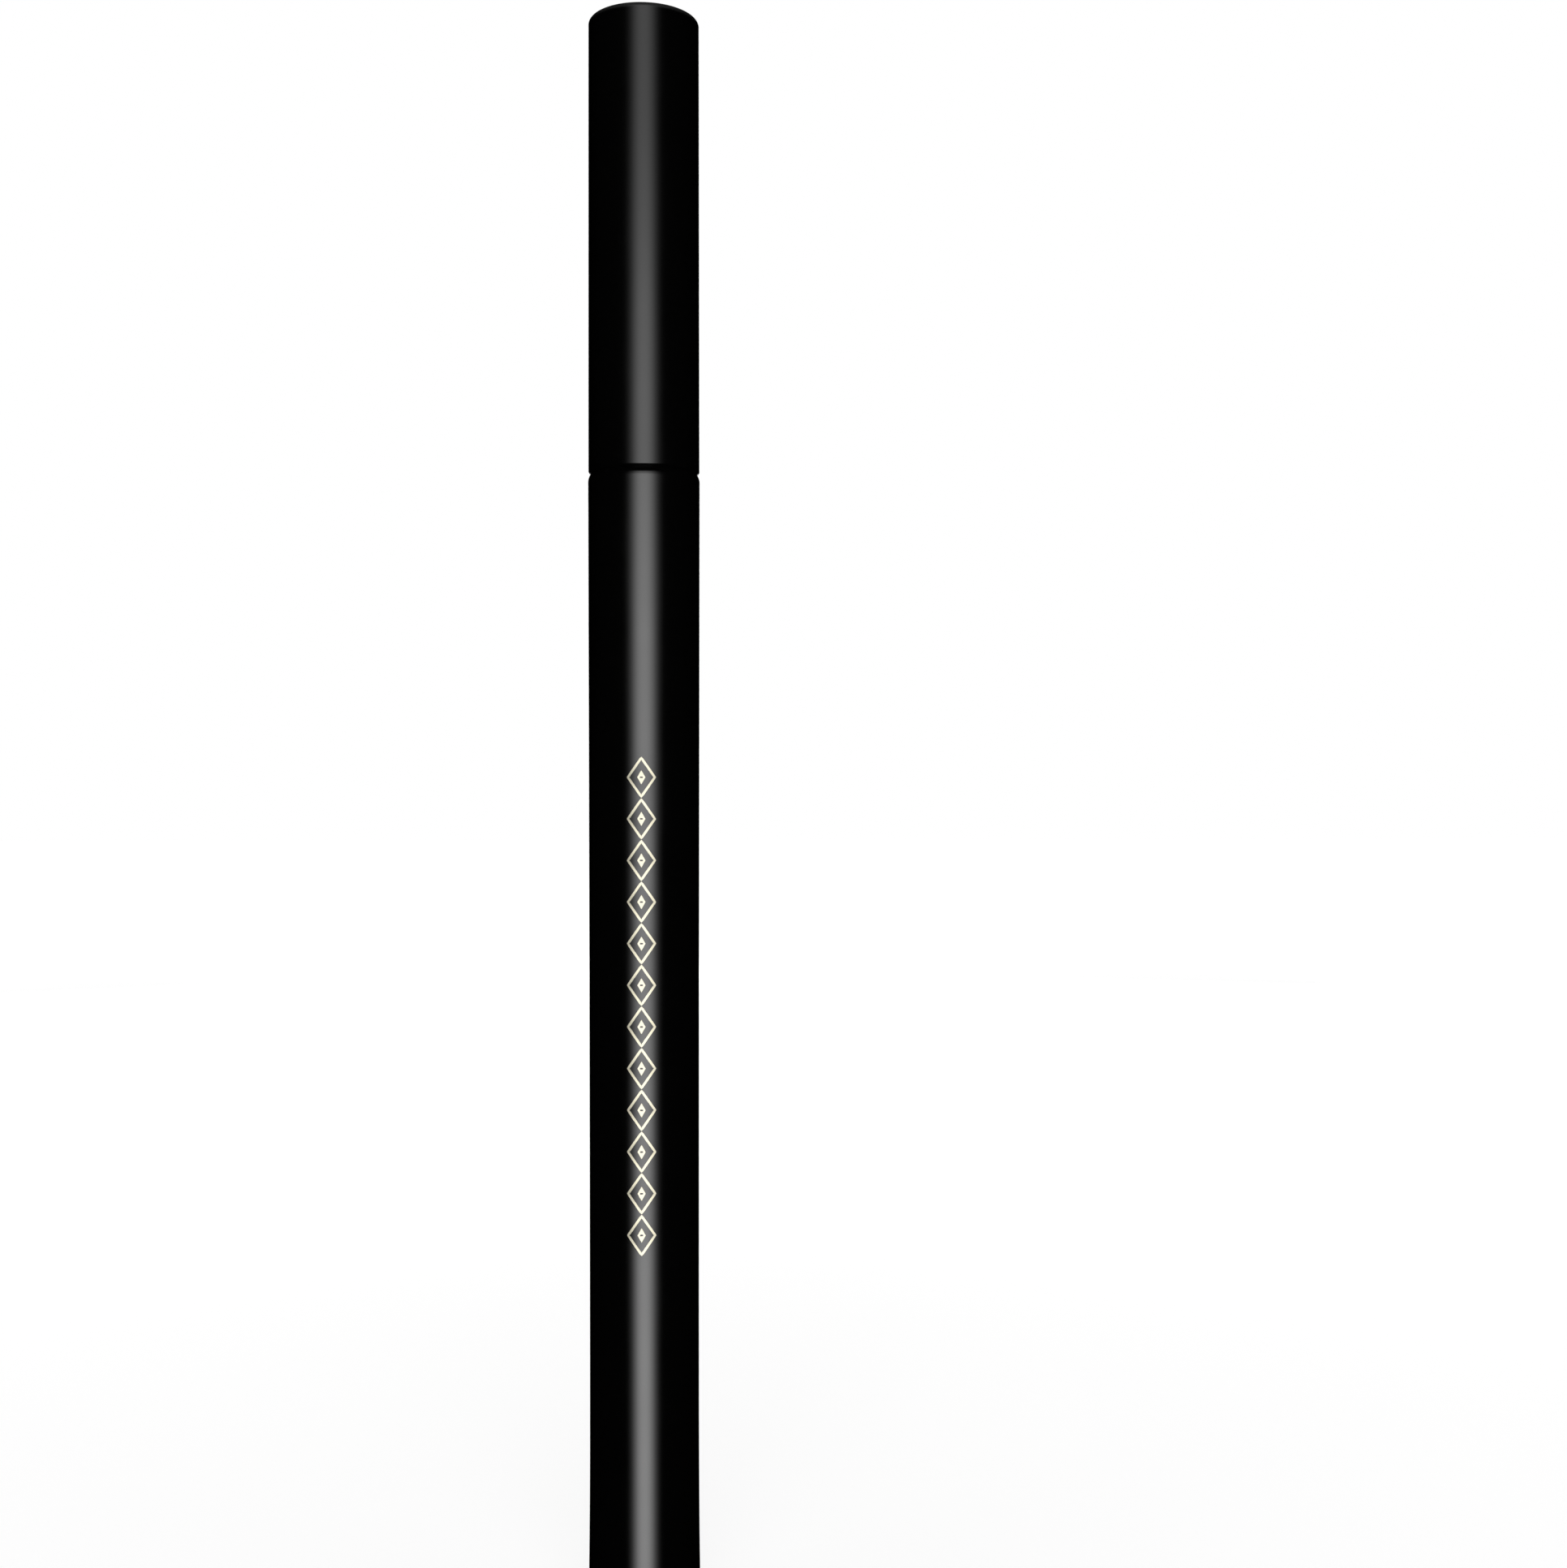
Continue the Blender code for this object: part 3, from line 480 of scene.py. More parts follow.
def rounded(corners):
    """The outline through corners (radius, height) or (radius, height, fillet), with arcs at the
    fillets and a ring close beside each arc, so that flat faces stay flat to the light."""
    outline = []
    count = len(corners)
    for index, corner in enumerate(corners):
        here = Vector(corner[:2])
        fillet = corner[2] if len(corner) > 2 else 0.0
        if not fillet:
            outline.append(here)
            continue
        back = Vector(corners[index - 1][:2]) - here
        ahead = Vector(corners[(index + 1) % count][:2]) - here
        room_back, room_ahead = back.length, ahead.length
        back.normalize()
        ahead.normalize()
        half_angle = 0.5 * back.angle(ahead)
        leg = fillet / math.tan(half_angle)
        middle = here + (back + ahead).normalized() * (fillet / math.sin(half_angle))
        start = here + back * leg - middle
        turn = start.angle_signed(here + ahead * leg - middle)
        if leg + 2.0 * EDGE_HOLD < room_back:
            outline.append(here + back * (leg + EDGE_HOLD))
        for step in range(FILLET_STEPS + 1):
            angle = -turn * step / FILLET_STEPS
            sine, cosine = math.sin(angle), math.cos(angle)
            across = start.x * cosine - start.y * sine
            up = start.x * sine + start.y * cosine
            outline.append(middle + Vector((across, up)))
        if leg + 2.0 * EDGE_HOLD < room_ahead:
            outline.append(here + ahead * (leg + EDGE_HOLD))
    return [(point.x, point.y) for point in outline]


def link(name, mesh, finish):
    """A named object at the origin, smooth but for its sharp edges."""
    if not mesh.materials:
        mesh.materials.append(finish)
    mesh.shade_smooth()
    mesh.set_sharp_from_angle(angle=SHARP_ANGLE)
    piece = bpy.data.objects.new(name, mesh)
    bpy.context.scene.collection.objects.link(piece)
    return piece


def turned(name, corners, finish, closed=True):
    """A piece turned round the axis. An open outline starts and ends on the axis."""
    shape = bmesh.new()
    points = [shape.verts.new((radius, 0.0, height)) for radius, height in rounded(corners)]
    edges = [shape.edges.new(pair) for pair in zip(points, points[1:])]
    if closed:
        edges.append(shape.edges.new((points[-1], points[0])))
    bmesh.ops.spin(
        shape, geom=points + edges, cent=(0.0, 0.0, 0.0), axis=(0.0, 0.0, 1.0),
        angle=2.0 * math.pi, steps=AROUND, use_merge=True,
    )
    bmesh.ops.remove_doubles(shape, verts=shape.verts[:], dist=WELD)
    bmesh.ops.dissolve_degenerate(shape, edges=shape.edges[:], dist=WELD)
    bmesh.ops.recalc_face_normals(shape, faces=shape.faces[:])
    mesh = bpy.data.meshes.new(name)
    shape.to_mesh(mesh)
    shape.free()
    return link(name, mesh, finish)


def new_tree(name, counts, sizes):
    """A geometry tree with a whole number as input for each count and a plain one for each size."""
    tree = bpy.data.node_groups.new(name, "GeometryNodeTree")
    kinds = {**dict.fromkeys(counts, "NodeSocketInt"), **dict.fromkeys(sizes, "NodeSocketFloat")}
    for word, kind in kinds.items():
        tree.interface.new_socket(word, in_out="INPUT", socket_type=kind)
    tree.interface.new_socket("Geometry", in_out="OUTPUT", socket_type="NodeSocketGeometry")
    asked = add_node(tree, "NodeGroupInput").outputs
    given = add_node(tree, "NodeGroupOutput")
    return tree, asked, given


def place_of_points(tree):
    """The X, Y and Z of each point."""
    place = add_node(tree, "GeometryNodeInputPosition").outputs["Position"]
    return add_node(tree, "ShaderNodeSeparateXYZ", {"Vector": place}).outputs


def finished_shape(tree, given, shape, finish):
    """Ends a tree: its instances made real, and its finish put on."""
    real = add_node(tree, "GeometryNodeRealizeInstances", {"Geometry": shape})
    dressed = add_node(tree, "GeometryNodeSetMaterial", {
        "Geometry": real.outputs["Geometry"], "Material": finish,
    })
    tree.links.new(dressed.outputs["Geometry"], given.inputs["Geometry"])


def grown(name, tree, sizes, finish):
    """The plain mesh that a tree makes from these sizes."""
    holder = bpy.data.objects.new(name + "_grower", bpy.data.meshes.new(name + "_grower"))
    bpy.context.scene.collection.objects.link(holder)
    step = holder.modifiers.new("grow", "NODES")
    step.node_group = tree
    for item in tree.interface.items_tree:
        if item.in_out == "INPUT":
            step[item.identifier] = sizes[item.name]
    graph = bpy.context.evaluated_depsgraph_get()
    mesh = bpy.data.meshes.new_from_object(holder.evaluated_get(graph))
    mesh.name = name
    holder.modifiers.remove(step)
    bpy.data.objects.remove(holder)
    return link(name, mesh, finish)


def bristle_tree(finish):
    """Filaments set out in a sunflower pattern on the root, then drawn in to one point."""
    tree, asked, given = new_tree("gathered_bristles", ["Bristles", "Seed"], [
        "Bundle radius", "Wire radius", "Foot height", "Tip height", "Gather length",
    ])
    number = add_node(tree, "GeometryNodeInputIndex").outputs["Index"]
    from_axis = formula(tree, ("SQRT", ("DIVIDE", ("ADD", number, 0.5), asked["Bristles"])))
    room = ("SUBTRACT", asked["Bundle radius"], asked["Wire radius"])
    out = formula(tree, ("MULTIPLY", from_axis, room))
    turn = formula(tree, ("MULTIPLY", number, GOLDEN_ANGLE))
    spot = add_node(tree, "ShaderNodeCombineXYZ", {
        "X": formula(tree, ("MULTIPLY", out, ("COSINE", turn))),
        "Y": formula(tree, ("MULTIPLY", out, ("SINE", turn))),
        "Z": asked["Foot height"],
    })
    feet = add_node(tree, "GeometryNodePoints", {
        "Count": asked["Bristles"], "Position": spot.outputs["Vector"],
    })
    kept = add_node(tree, "GeometryNodeStoreNamedAttribute", {
        "Geometry": feet.outputs["Points"], "Name": "foot",
        "Value": add_node(tree, "GeometryNodeInputPosition").outputs["Position"],
    }, data_type="FLOAT_VECTOR", domain="POINT")

    # One filament of unit height, thick for most of its length and etched to a fine end
    line = add_node(tree, "GeometryNodeCurvePrimitiveLine", {
        "Start": (0.0, 0.0, 0.0), "End": (0.0, 0.0, 1.0),
    })
    stepped = add_node(tree, "GeometryNodeResampleCurve", {
        "Curve": line.outputs["Curve"], "Count": BRISTLE_RINGS,
    })
    along = add_node(tree, "GeometryNodeSplineParameter").outputs["Factor"]
    etched = ("MULTIPLY", ETCHED_SHARE, ("POWER", along, ETCHING_POWER))
    wire = add_node(tree, "GeometryNodeSetCurveRadius", {
        "Curve": stepped.outputs["Curve"], "Radius": formula(tree, ("SUBTRACT", 1.0, etched)),
    })
    ring = add_node(tree, "GeometryNodeCurvePrimitiveCircle", {
        "Resolution": BRISTLE_SIDES, "Radius": asked["Wire radius"],
    })
    filament = add_node(tree, "GeometryNodeCurveToMesh", {
        "Curve": wire.outputs["Curve"], "Profile Curve": ring.outputs["Curve"], "Fill Caps": True,
    })

    # The further out a filament stands, the shorter it may be
    chances = add_node(
        tree, "FunctionNodeRandomValue", {"Seed": asked["Seed"]}, data_type="FLOAT"
    )
    reach = ("SUBTRACT", asked["Tip height"], asked["Foot height"])
    stagger = ("MULTIPLY", asked["Gather length"], STAGGER_SHARE)
    short = ("MULTIPLY", ("MULTIPLY", chances.outputs[1], from_axis), stagger)
    tall = add_node(tree, "ShaderNodeCombineXYZ", {
        "X": 1.0, "Y": 1.0, "Z": formula(tree, ("SUBTRACT", reach, short)),
    })
    planted = add_node(tree, "GeometryNodeInstanceOnPoints", {
        "Points": kept.outputs["Geometry"], "Instance": filament.outputs["Mesh"],
        "Scale": tall.outputs["Vector"],
    })
    real = add_node(tree, "GeometryNodeRealizeInstances", {
        "Geometry": planted.outputs["Instances"],
    })

    # Within the gathered length each filament runs in to the point, along the measured outline
    here = place_of_points(tree)
    foot = add_node(
        tree, "GeometryNodeInputNamedAttribute", {"Name": "foot"}, data_type="FLOAT_VECTOR"
    ).outputs["Attribute"]
    root = add_node(tree, "ShaderNodeSeparateXYZ", {"Vector": foot}).outputs
    from_tip = ("SUBTRACT", asked["Tip height"], here["Z"])
    below_tip = formula(tree, ("MINIMUM", ("DIVIDE", from_tip, asked["Gather length"]), 1.0))
    outline = add_node(tree, "ShaderNodeFloatCurve", {"Value": below_tip})
    for at, width in GATHER_OUTLINE:
        outline.mapping.curves[0].points.new(at, width)
    outline.mapping.update()
    drawn_in = outline.outputs["Value"]

    # The free ends stray a little from that, each filament in its own way
    own_place = add_node(tree, "ShaderNodeVectorMath", {
        0: foot, 1: (STRAY_SCALE, STRAY_SCALE, 0.0),
    }, operation="MULTIPLY")
    stray = add_node(tree, "ShaderNodeTexNoise", {
        "Vector": own_place.outputs["Vector"], "Scale": 1.0, "Detail": 1.0,
    })
    sway = add_node(tree, "ShaderNodeSeparateXYZ", {"Vector": stray.outputs["Color"]}).outputs
    free = ("MULTIPLY", ("SUBTRACT", 1.0, below_tip), STRAY_REACH)
    sway_reach = formula(tree, ("MULTIPLY", free, drawn_in))
    gathered = {"Z": here["Z"]}
    for axis in ("X", "Y"):
        middle = ("MULTIPLY", root[axis], drawn_in)
        own_width = ("SUBTRACT", here[axis], root[axis])
        swayed = ("MULTIPLY", ("SUBTRACT", sway[axis], 0.5), sway_reach)
        gathered[axis] = formula(tree, ("ADD", ("ADD", middle, own_width), swayed))
    place = add_node(tree, "ShaderNodeCombineXYZ", gathered)
    brush = add_node(tree, "GeometryNodeSetPosition", {
        "Geometry": real.outputs["Geometry"], "Position": place.outputs["Vector"],
    })
    plain = add_node(tree, "GeometryNodeRemoveAttribute", {
        "Geometry": brush.outputs["Geometry"], "Name": "foot",
    })
    finished_shape(tree, given, plain.outputs["Geometry"], finish)
    return tree


def spring_tree(finish):
    """One wire wound at a steady pitch, with cut ends."""
    tree, asked, given = new_tree("wound_spring", [], [
        "Turns", "Coil radius", "Wire radius", "Foot height", "Rise",
    ])
    helix = add_node(tree, "GeometryNodeCurveSpiral", {
        "Resolution": SPRING_STEPS, "Rotations": asked["Turns"], "Height": asked["Rise"],
        "Start Radius": asked["Coil radius"], "End Radius": asked["Coil radius"],
    })
    ring = add_node(tree, "GeometryNodeCurvePrimitiveCircle", {
        "Resolution": SPRING_SIDES, "Radius": asked["Wire radius"],
    })
    wire = add_node(tree, "GeometryNodeCurveToMesh", {
        "Curve": helix.outputs["Curve"], "Profile Curve": ring.outputs["Curve"], "Fill Caps": True,
    })
    lift = add_node(tree, "ShaderNodeCombineXYZ", {"Z": asked["Foot height"]})
    placed = add_node(tree, "GeometryNodeTransform", {
        "Geometry": wire.outputs["Mesh"], "Translation": lift.outputs["Vector"],
    })
    finished_shape(tree, given, placed.outputs["Geometry"], finish)
    return tree


def foil_tree(finish):
    """A flat chain of lozenges, wrapped on to the barrel's side and sunk a hair into it."""
    tree, asked, given = new_tree("stamped_lozenge_chain", ["Units"], [
        "Pitch", "Width", "Stroke", "Thickness", "Foot height", "Turn", "Sink",
        "Waist radius", "Waist inset", "Waist height", "Swell length", "Swell power",
    ])
    half_width = formula(tree, ("MULTIPLY", ("SUBTRACT", asked["Width"], asked["Stroke"]), 0.5))
    half_pitch = formula(tree, ("MULTIPLY", asked["Pitch"], 0.5))

    # The open lozenge: a stroke of foil that runs round it
    square = add_node(tree, "GeometryNodeCurvePrimitiveCircle", {"Resolution": 4, "Radius": 1.0})
    lozenge_size = add_node(tree, "ShaderNodeCombineXYZ", {
        "X": half_width, "Y": formula(tree, ("MULTIPLY", half_pitch, LOZENGE_SHARE)), "Z": 1.0,
    })
    lozenge = add_node(tree, "GeometryNodeTransform", {
        "Geometry": square.outputs["Curve"], "Scale": lozenge_size.outputs["Vector"],
    })
    stepped = add_node(tree, "GeometryNodeResampleCurve", {
        "Curve": lozenge.outputs["Geometry"], "Count": LOZENGE_STEPS,
    })
    flat = add_node(tree, "GeometryNodeSetCurveNormal", {
        "Curve": stepped.outputs["Curve"],
    }, mode="Z_UP")
    stroke = add_node(tree, "GeometryNodeCurvePrimitiveQuadrilateral", {
        "Width": asked["Stroke"], "Height": asked["Thickness"],
    })
    open_lozenge = add_node(tree, "GeometryNodeCurveToMesh", {
        "Curve": flat.outputs["Curve"], "Profile Curve": stroke.outputs["Curve"],
    })

    # The small solid one in its middle
    inner_width, inner_height = INNER_SHARES
    bead = add_node(tree, "GeometryNodeMeshCylinder", {
        "Vertices": 4, "Radius": 1.0, "Depth": asked["Thickness"],
    }, fill_type="NGON")
    bead_size = add_node(tree, "ShaderNodeCombineXYZ", {
        "X": formula(tree, ("MULTIPLY", half_width, inner_width)),
        "Y": formula(tree, ("MULTIPLY", half_pitch, inner_height)),
        "Z": 1.0,
    })
    solid_lozenge = add_node(tree, "GeometryNodeTransform", {
        "Geometry": bead.outputs["Mesh"], "Scale": bead_size.outputs["Vector"],
    })
    unit = add_node(tree, "GeometryNodeJoinGeometry")
    for part in (open_lozenge.outputs["Mesh"], solid_lozenge.outputs["Geometry"]):
        tree.links.new(part, unit.inputs["Geometry"])

    # The flat chain of them
    first = add_node(tree, "ShaderNodeCombineXYZ", {
        "Y": formula(tree, ("ADD", asked["Foot height"], half_pitch)),
    })
    apart = add_node(tree, "ShaderNodeCombineXYZ", {"Y": asked["Pitch"]})
    row = add_node(tree, "GeometryNodeMeshLine", {
        "Count": asked["Units"], "Start Location": first.outputs["Vector"],
        "Offset": apart.outputs["Vector"],
    })
    laid = add_node(tree, "GeometryNodeInstanceOnPoints", {
        "Points": row.outputs["Mesh"], "Instance": unit.outputs["Geometry"],
    })
    real = add_node(tree, "GeometryNodeRealizeInstances", {"Geometry": laid.outputs["Instances"]})

    # The flat X runs round the barrel, the flat Y along it, and the flat Z out of it
    here = place_of_points(tree)
    above_waist = ("DIVIDE", ("SUBTRACT", here["Y"], asked["Waist height"]), asked["Swell length"])
    swell = ("MULTIPLY", asked["Waist inset"], ("POWER", above_waist, asked["Swell power"]))
    side = formula(tree, ("ADD", asked["Waist radius"], swell))
    proud = ("SUBTRACT", ("MULTIPLY", asked["Thickness"], 0.5), asked["Sink"])
    radius = formula(tree, ("ADD", ("ADD", side, proud), here["Z"]))
    angle = formula(tree, ("ADD", ("DIVIDE", here["X"], side), asked["Turn"]))
    wrapped = add_node(tree, "ShaderNodeCombineXYZ", {
        "X": formula(tree, ("MULTIPLY", radius, ("SINE", angle))),
        "Y": formula(tree, ("MULTIPLY", ("MULTIPLY", radius, ("COSINE", angle)), -1.0)),
        "Z": here["Y"],
    })
    laid_on = add_node(tree, "GeometryNodeSetPosition", {
        "Geometry": real.outputs["Geometry"], "Position": wrapped.outputs["Vector"],
    })
    finished_shape(tree, given, laid_on.outputs["Geometry"], finish)
    return tree


def barrel_outside(height):
    """The barrel's outer radius at a height: slimmest at the waist, full at foot and shoulder."""
    if height < WAIST_HEIGHT:
        fullness = ((WAIST_HEIGHT - height) / WAIST_RISE) ** FOOT_FLARE
    else:
        fullness = ((height - WAIST_HEIGHT) / (BARREL_TOP - WAIST_HEIGHT)) ** UPPER_SWELL
    return WAIST_RADIUS + WAIST_INSET * fullness


def make_barrel(finish):
    """The long outer tube, whose lip grips the shank."""
    side_top = BARREL_TOP - SHOULDER_WIDTH - SHOULDER_FILLET
    side_foot = BARREL_FOOT + 2.0 * FOOT_FILLET
    side = [
        side_foot + (side_top - side_foot) * step / BARREL_STEPS for step in range(BARREL_STEPS + 1)
    ]
    return turned("barrel_tube", [
        (barrel_outside(BARREL_FOOT), BARREL_FOOT, FOOT_FILLET),
        *[(barrel_outside(height), height) for height in side],
        (BARREL_RADIUS, BARREL_TOP - SHOULDER_WIDTH, SHOULDER_FILLET),
        (COLLAR_RADIUS, BARREL_TOP, LIP_EDGE),
        (LIP_BORE, BARREL_TOP),
        (LIP_BORE, BARREL_TOP - LIP_HEIGHT),
        (BARREL_BORE, BARREL_TOP - LIP_HEIGHT),
        (BARREL_BORE, BARREL_FOOT),
    ], finish)


def make_tail_cap(finish):
    """The disc that the pen stands on, with the mould's gate mark low in its shallow well."""
    gate_edge, well_edge, rim_edge, spigot_edge = 0.05 * MM, 0.06 * MM, 0.04 * MM, 0.12 * MM
    return turned("tail_disc", [
        (0.0, GATE_FACE),
        (GATE_RADIUS, GATE_FACE, gate_edge),
        (GATE_FOOT, WELL_DEPTH, gate_edge),
        (WELL_RADIUS, WELL_DEPTH, well_edge),
        (WELL_MOUTH, 0.0, well_edge),
        (TAIL_RADIUS, 0.0, TAIL_FILLET),
        (TAIL_RADIUS, TAIL_THICKNESS, rim_edge),
        (SPIGOT_RADIUS, TAIL_THICKNESS),
        (SPIGOT_RADIUS, SPIGOT_TOP, spigot_edge),
        (SPIGOT_BORE, SPIGOT_TOP, spigot_edge),
        (SPIGOT_BORE, TAIL_THICKNESS),
        (0.0, TAIL_THICKNESS),
    ], finish, closed=False)


def neck_side():
    """The neck's side from the collar up: a rounded swell, then a long hollow into the nozzle."""
    taper = COLLAR_RADIUS - NOZZLE_RADIUS
    swell = taper * SWELL_SHARE
    lower = [
        (COLLAR_RADIUS - swell * (step / SWELL_STEPS) ** SWELL_POWER,
         COLLAR_TOP + SWELL_RISE * step / SWELL_STEPS)
        for step in range(SWELL_STEPS + 1)
    ]
    upper = [
        (NOZZLE_RADIUS + (taper - swell) * (1.0 - step / HOLLOW_STEPS) ** HOLLOW_POWER,
         COLLAR_TOP + SWELL_RISE + HOLLOW_RISE * step / HOLLOW_STEPS)
        for step in range(1, HOLLOW_STEPS + 1)
    ]
    return lower + upper


def make_neck(finish):
    """The slim neck with its nozzle, and the shank that plugs into the barrel."""
    collar_edge = 0.05 * MM
    return turned("neck_and_nozzle", [
        (SHANK_BORE, SHANK_FOOT),
        (SHANK_RADIUS - SHANK_CHAMFER, SHANK_FOOT),
        (SHANK_RADIUS, SHANK_FOOT + SHANK_CHAMFER),
        (SHANK_RADIUS, GROOVE_FOOT),
        (GROOVE_RADIUS, GROOVE_FOOT),
        (GROOVE_RADIUS, GROOVE_TOP),
        (SHANK_RADIUS, GROOVE_TOP),
        (SHANK_RADIUS, COLLAR_FOOT),
        (COLLAR_RADIUS, COLLAR_FOOT, collar_edge),
        *neck_side(),
        (NOZZLE_RADIUS, NOZZLE_TOP, NOZZLE_FILLET),
        (NOZZLE_HOLE, NOZZLE_TOP, HOLE_EDGE),
        (NOZZLE_HOLE, SEAT_TOP),
        (SEAT_BORE, SEAT_TOP),
        (SEAT_BORE, SEAT_FOOT),
        (SHANK_BORE, SHANK_BORE_TOP),
    ], finish)


def make_brush_root(finish):
    """The bonded foot of the brush, domed a little between the filaments."""
    foot_edge, dome_edge = 0.12 * MM, 0.10 * MM
    return turned("brush_root", [
        (0.0, BRUSH_ROOT),
        (BRUSH_RADIUS, BRUSH_ROOT, foot_edge),
        (BRUSH_RADIUS, BRISTLE_FOOT + ROOT_SIDE_RISE, dome_edge),
        (0.0, BRISTLE_FOOT + ROOT_DOME_RISE),
    ], finish, closed=False)


def make_cap(finish):
    """The outer cap: a flat top with a rounded rim, and a mouth eased outside, bevelled inside."""
    eased_in, eased_up = CAP_MOUTH_EDGE
    side_edge, lip_edge = CAP_MOUTH_FILLETS
    ceiling_edge = 0.15 * MM
    return turned("cap_tube", [
        (0.0, CAP_TOP),
        (CAP_RADIUS - CAP_TAPER, CAP_TOP, CAP_TOP_FILLET),
        (CAP_RADIUS, CAP_MOUTH + eased_up, side_edge),
        (CAP_RADIUS - eased_in, CAP_MOUTH, lip_edge),
        (CAP_MOUTH_BORE - CAP_MOUTH_LEAD, CAP_MOUTH + CAP_MOUTH_LEAD),
        (CAP_BORE, CAP_MOUTH + CAP_MOUTH_BORE - CAP_BORE),
        (CAP_BORE, CAP_CEILING, ceiling_edge),
        (POST_RADIUS, CAP_CEILING),
        (POST_RADIUS, CAP_CEILING - POST_HEIGHT, POST_EDGE),
        (0.0, CAP_CEILING - POST_HEIGHT),
    ], finish, closed=False)


def make_liner(finish):
    """The sleeve in the cap, with rounded ends and the slope that leads the cup in."""
    sleeve_edge, guide_edge, slope_edge = 0.08 * MM, 0.10 * MM, 0.15 * MM
    slope = LINER_BORE - GUIDE_BORE
    return turned("cap_sleeve", [
        (LINER_BORE, LINER_FOOT, sleeve_edge),
        (LINER_RADIUS, LINER_FOOT, sleeve_edge),
        (LINER_RADIUS, LINER_TOP, sleeve_edge),
        (GUIDE_BORE, LINER_TOP, guide_edge),
        (GUIDE_BORE, GUIDE_FOOT, slope_edge),
        (LINER_BORE, GUIDE_FOOT - slope, slope_edge),
    ], finish)


def make_cup(finish):
    """The sprung cup that closes over the nozzle, with its post for the spring."""
    dome, bore_edge, edge = 0.5 * MM, 0.08 * MM, 0.10 * MM
    root_fillet, top_edge = 0.25 * MM, 0.15 * MM
    return turned("seal_bell", [
        (0.0, CUP_BORE_TOP),
        (CUP_BORE, CUP_BORE_TOP, dome),
        (CUP_BORE, WASHER_SEAT, bore_edge),
        (SKIRT_BORE, WASHER_SEAT),
        (SKIRT_BORE, SKIRT_FOOT, edge),
        (SKIRT_RADIUS, SKIRT_FOOT, edge),
        (SKIRT_RADIUS, FLANGE_FOOT),
        (LINER_RADIUS, FLANGE_FOOT, edge),
        (LINER_RADIUS, FLANGE_TOP, edge),
        (CUP_RADIUS, FLANGE_TOP, root_fillet),
        (CUP_RADIUS, CUP_TOP, top_edge),
        (POST_RADIUS, CUP_TOP),
        (POST_RADIUS, CUP_TOP + POST_HEIGHT, POST_EDGE),
        (0.0, CUP_TOP + POST_HEIGHT),
    ], finish, closed=False)


def make_gasket(finish):
    """The soft washer that meets the nozzle's flat top."""
    edge = 0.08 * MM
    return turned("seal_washer", [
        (WASHER_BORE, WASHER_FOOT, edge),
        (NOZZLE_RADIUS, WASHER_FOOT, edge),
        (NOZZLE_RADIUS, WASHER_TOP, edge),
        (WASHER_BORE, WASHER_TOP, edge),
    ], finish)


def make_bristles(finish):
    """The brush's filaments, from the root to the point."""
    return grown("brush_bristles", bristle_tree(finish), {
        "Bristles": BRISTLE_COUNT, "Seed": BRISTLE_SEED, "Bundle radius": BRUSH_RADIUS,
        "Wire radius": BRISTLE_WIRE, "Foot height": BRISTLE_FOOT, "Tip height": BRISTLE_TIP,
        "Gather length": GATHER_LENGTH,
    }, finish)


def make_spring(finish):
    """The spring that presses the cup down."""
    return grown("seal_coil", spring_tree(finish), {
        "Turns": SPRING_TURNS, "Coil radius": SPRING_MIDDLE, "Wire radius": SPRING_WIRE,
        "Foot height": SPRING_FOOT, "Rise": SPRING_TOP - SPRING_FOOT,
    }, finish)


def make_foil(finish):
    """The ornament that runs up the front of the barrel."""
    return grown("foil_ornament", foil_tree(finish), {
        "Units": FOIL_UNITS, "Pitch": FOIL_PITCH, "Width": FOIL_WIDTH, "Stroke": FOIL_STROKE,
        "Thickness": FOIL_THICKNESS, "Foot height": FOIL_FOOT, "Turn": FOIL_TURN,
        "Sink": FOIL_SINK, "Waist radius": WAIST_RADIUS, "Waist inset": WAIST_INSET,
        "Waist height": WAIST_HEIGHT, "Swell length": BARREL_TOP - WAIST_HEIGHT,
        "Swell power": UPPER_SWELL,
    }, finish)


def fit(piece, body, slot, *nodes):
    """Puts a piece on its body and hides the CAD nodes whose place it takes. Its slot is not used.
    """
    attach(piece, body)
    if nodes:
        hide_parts(*nodes)


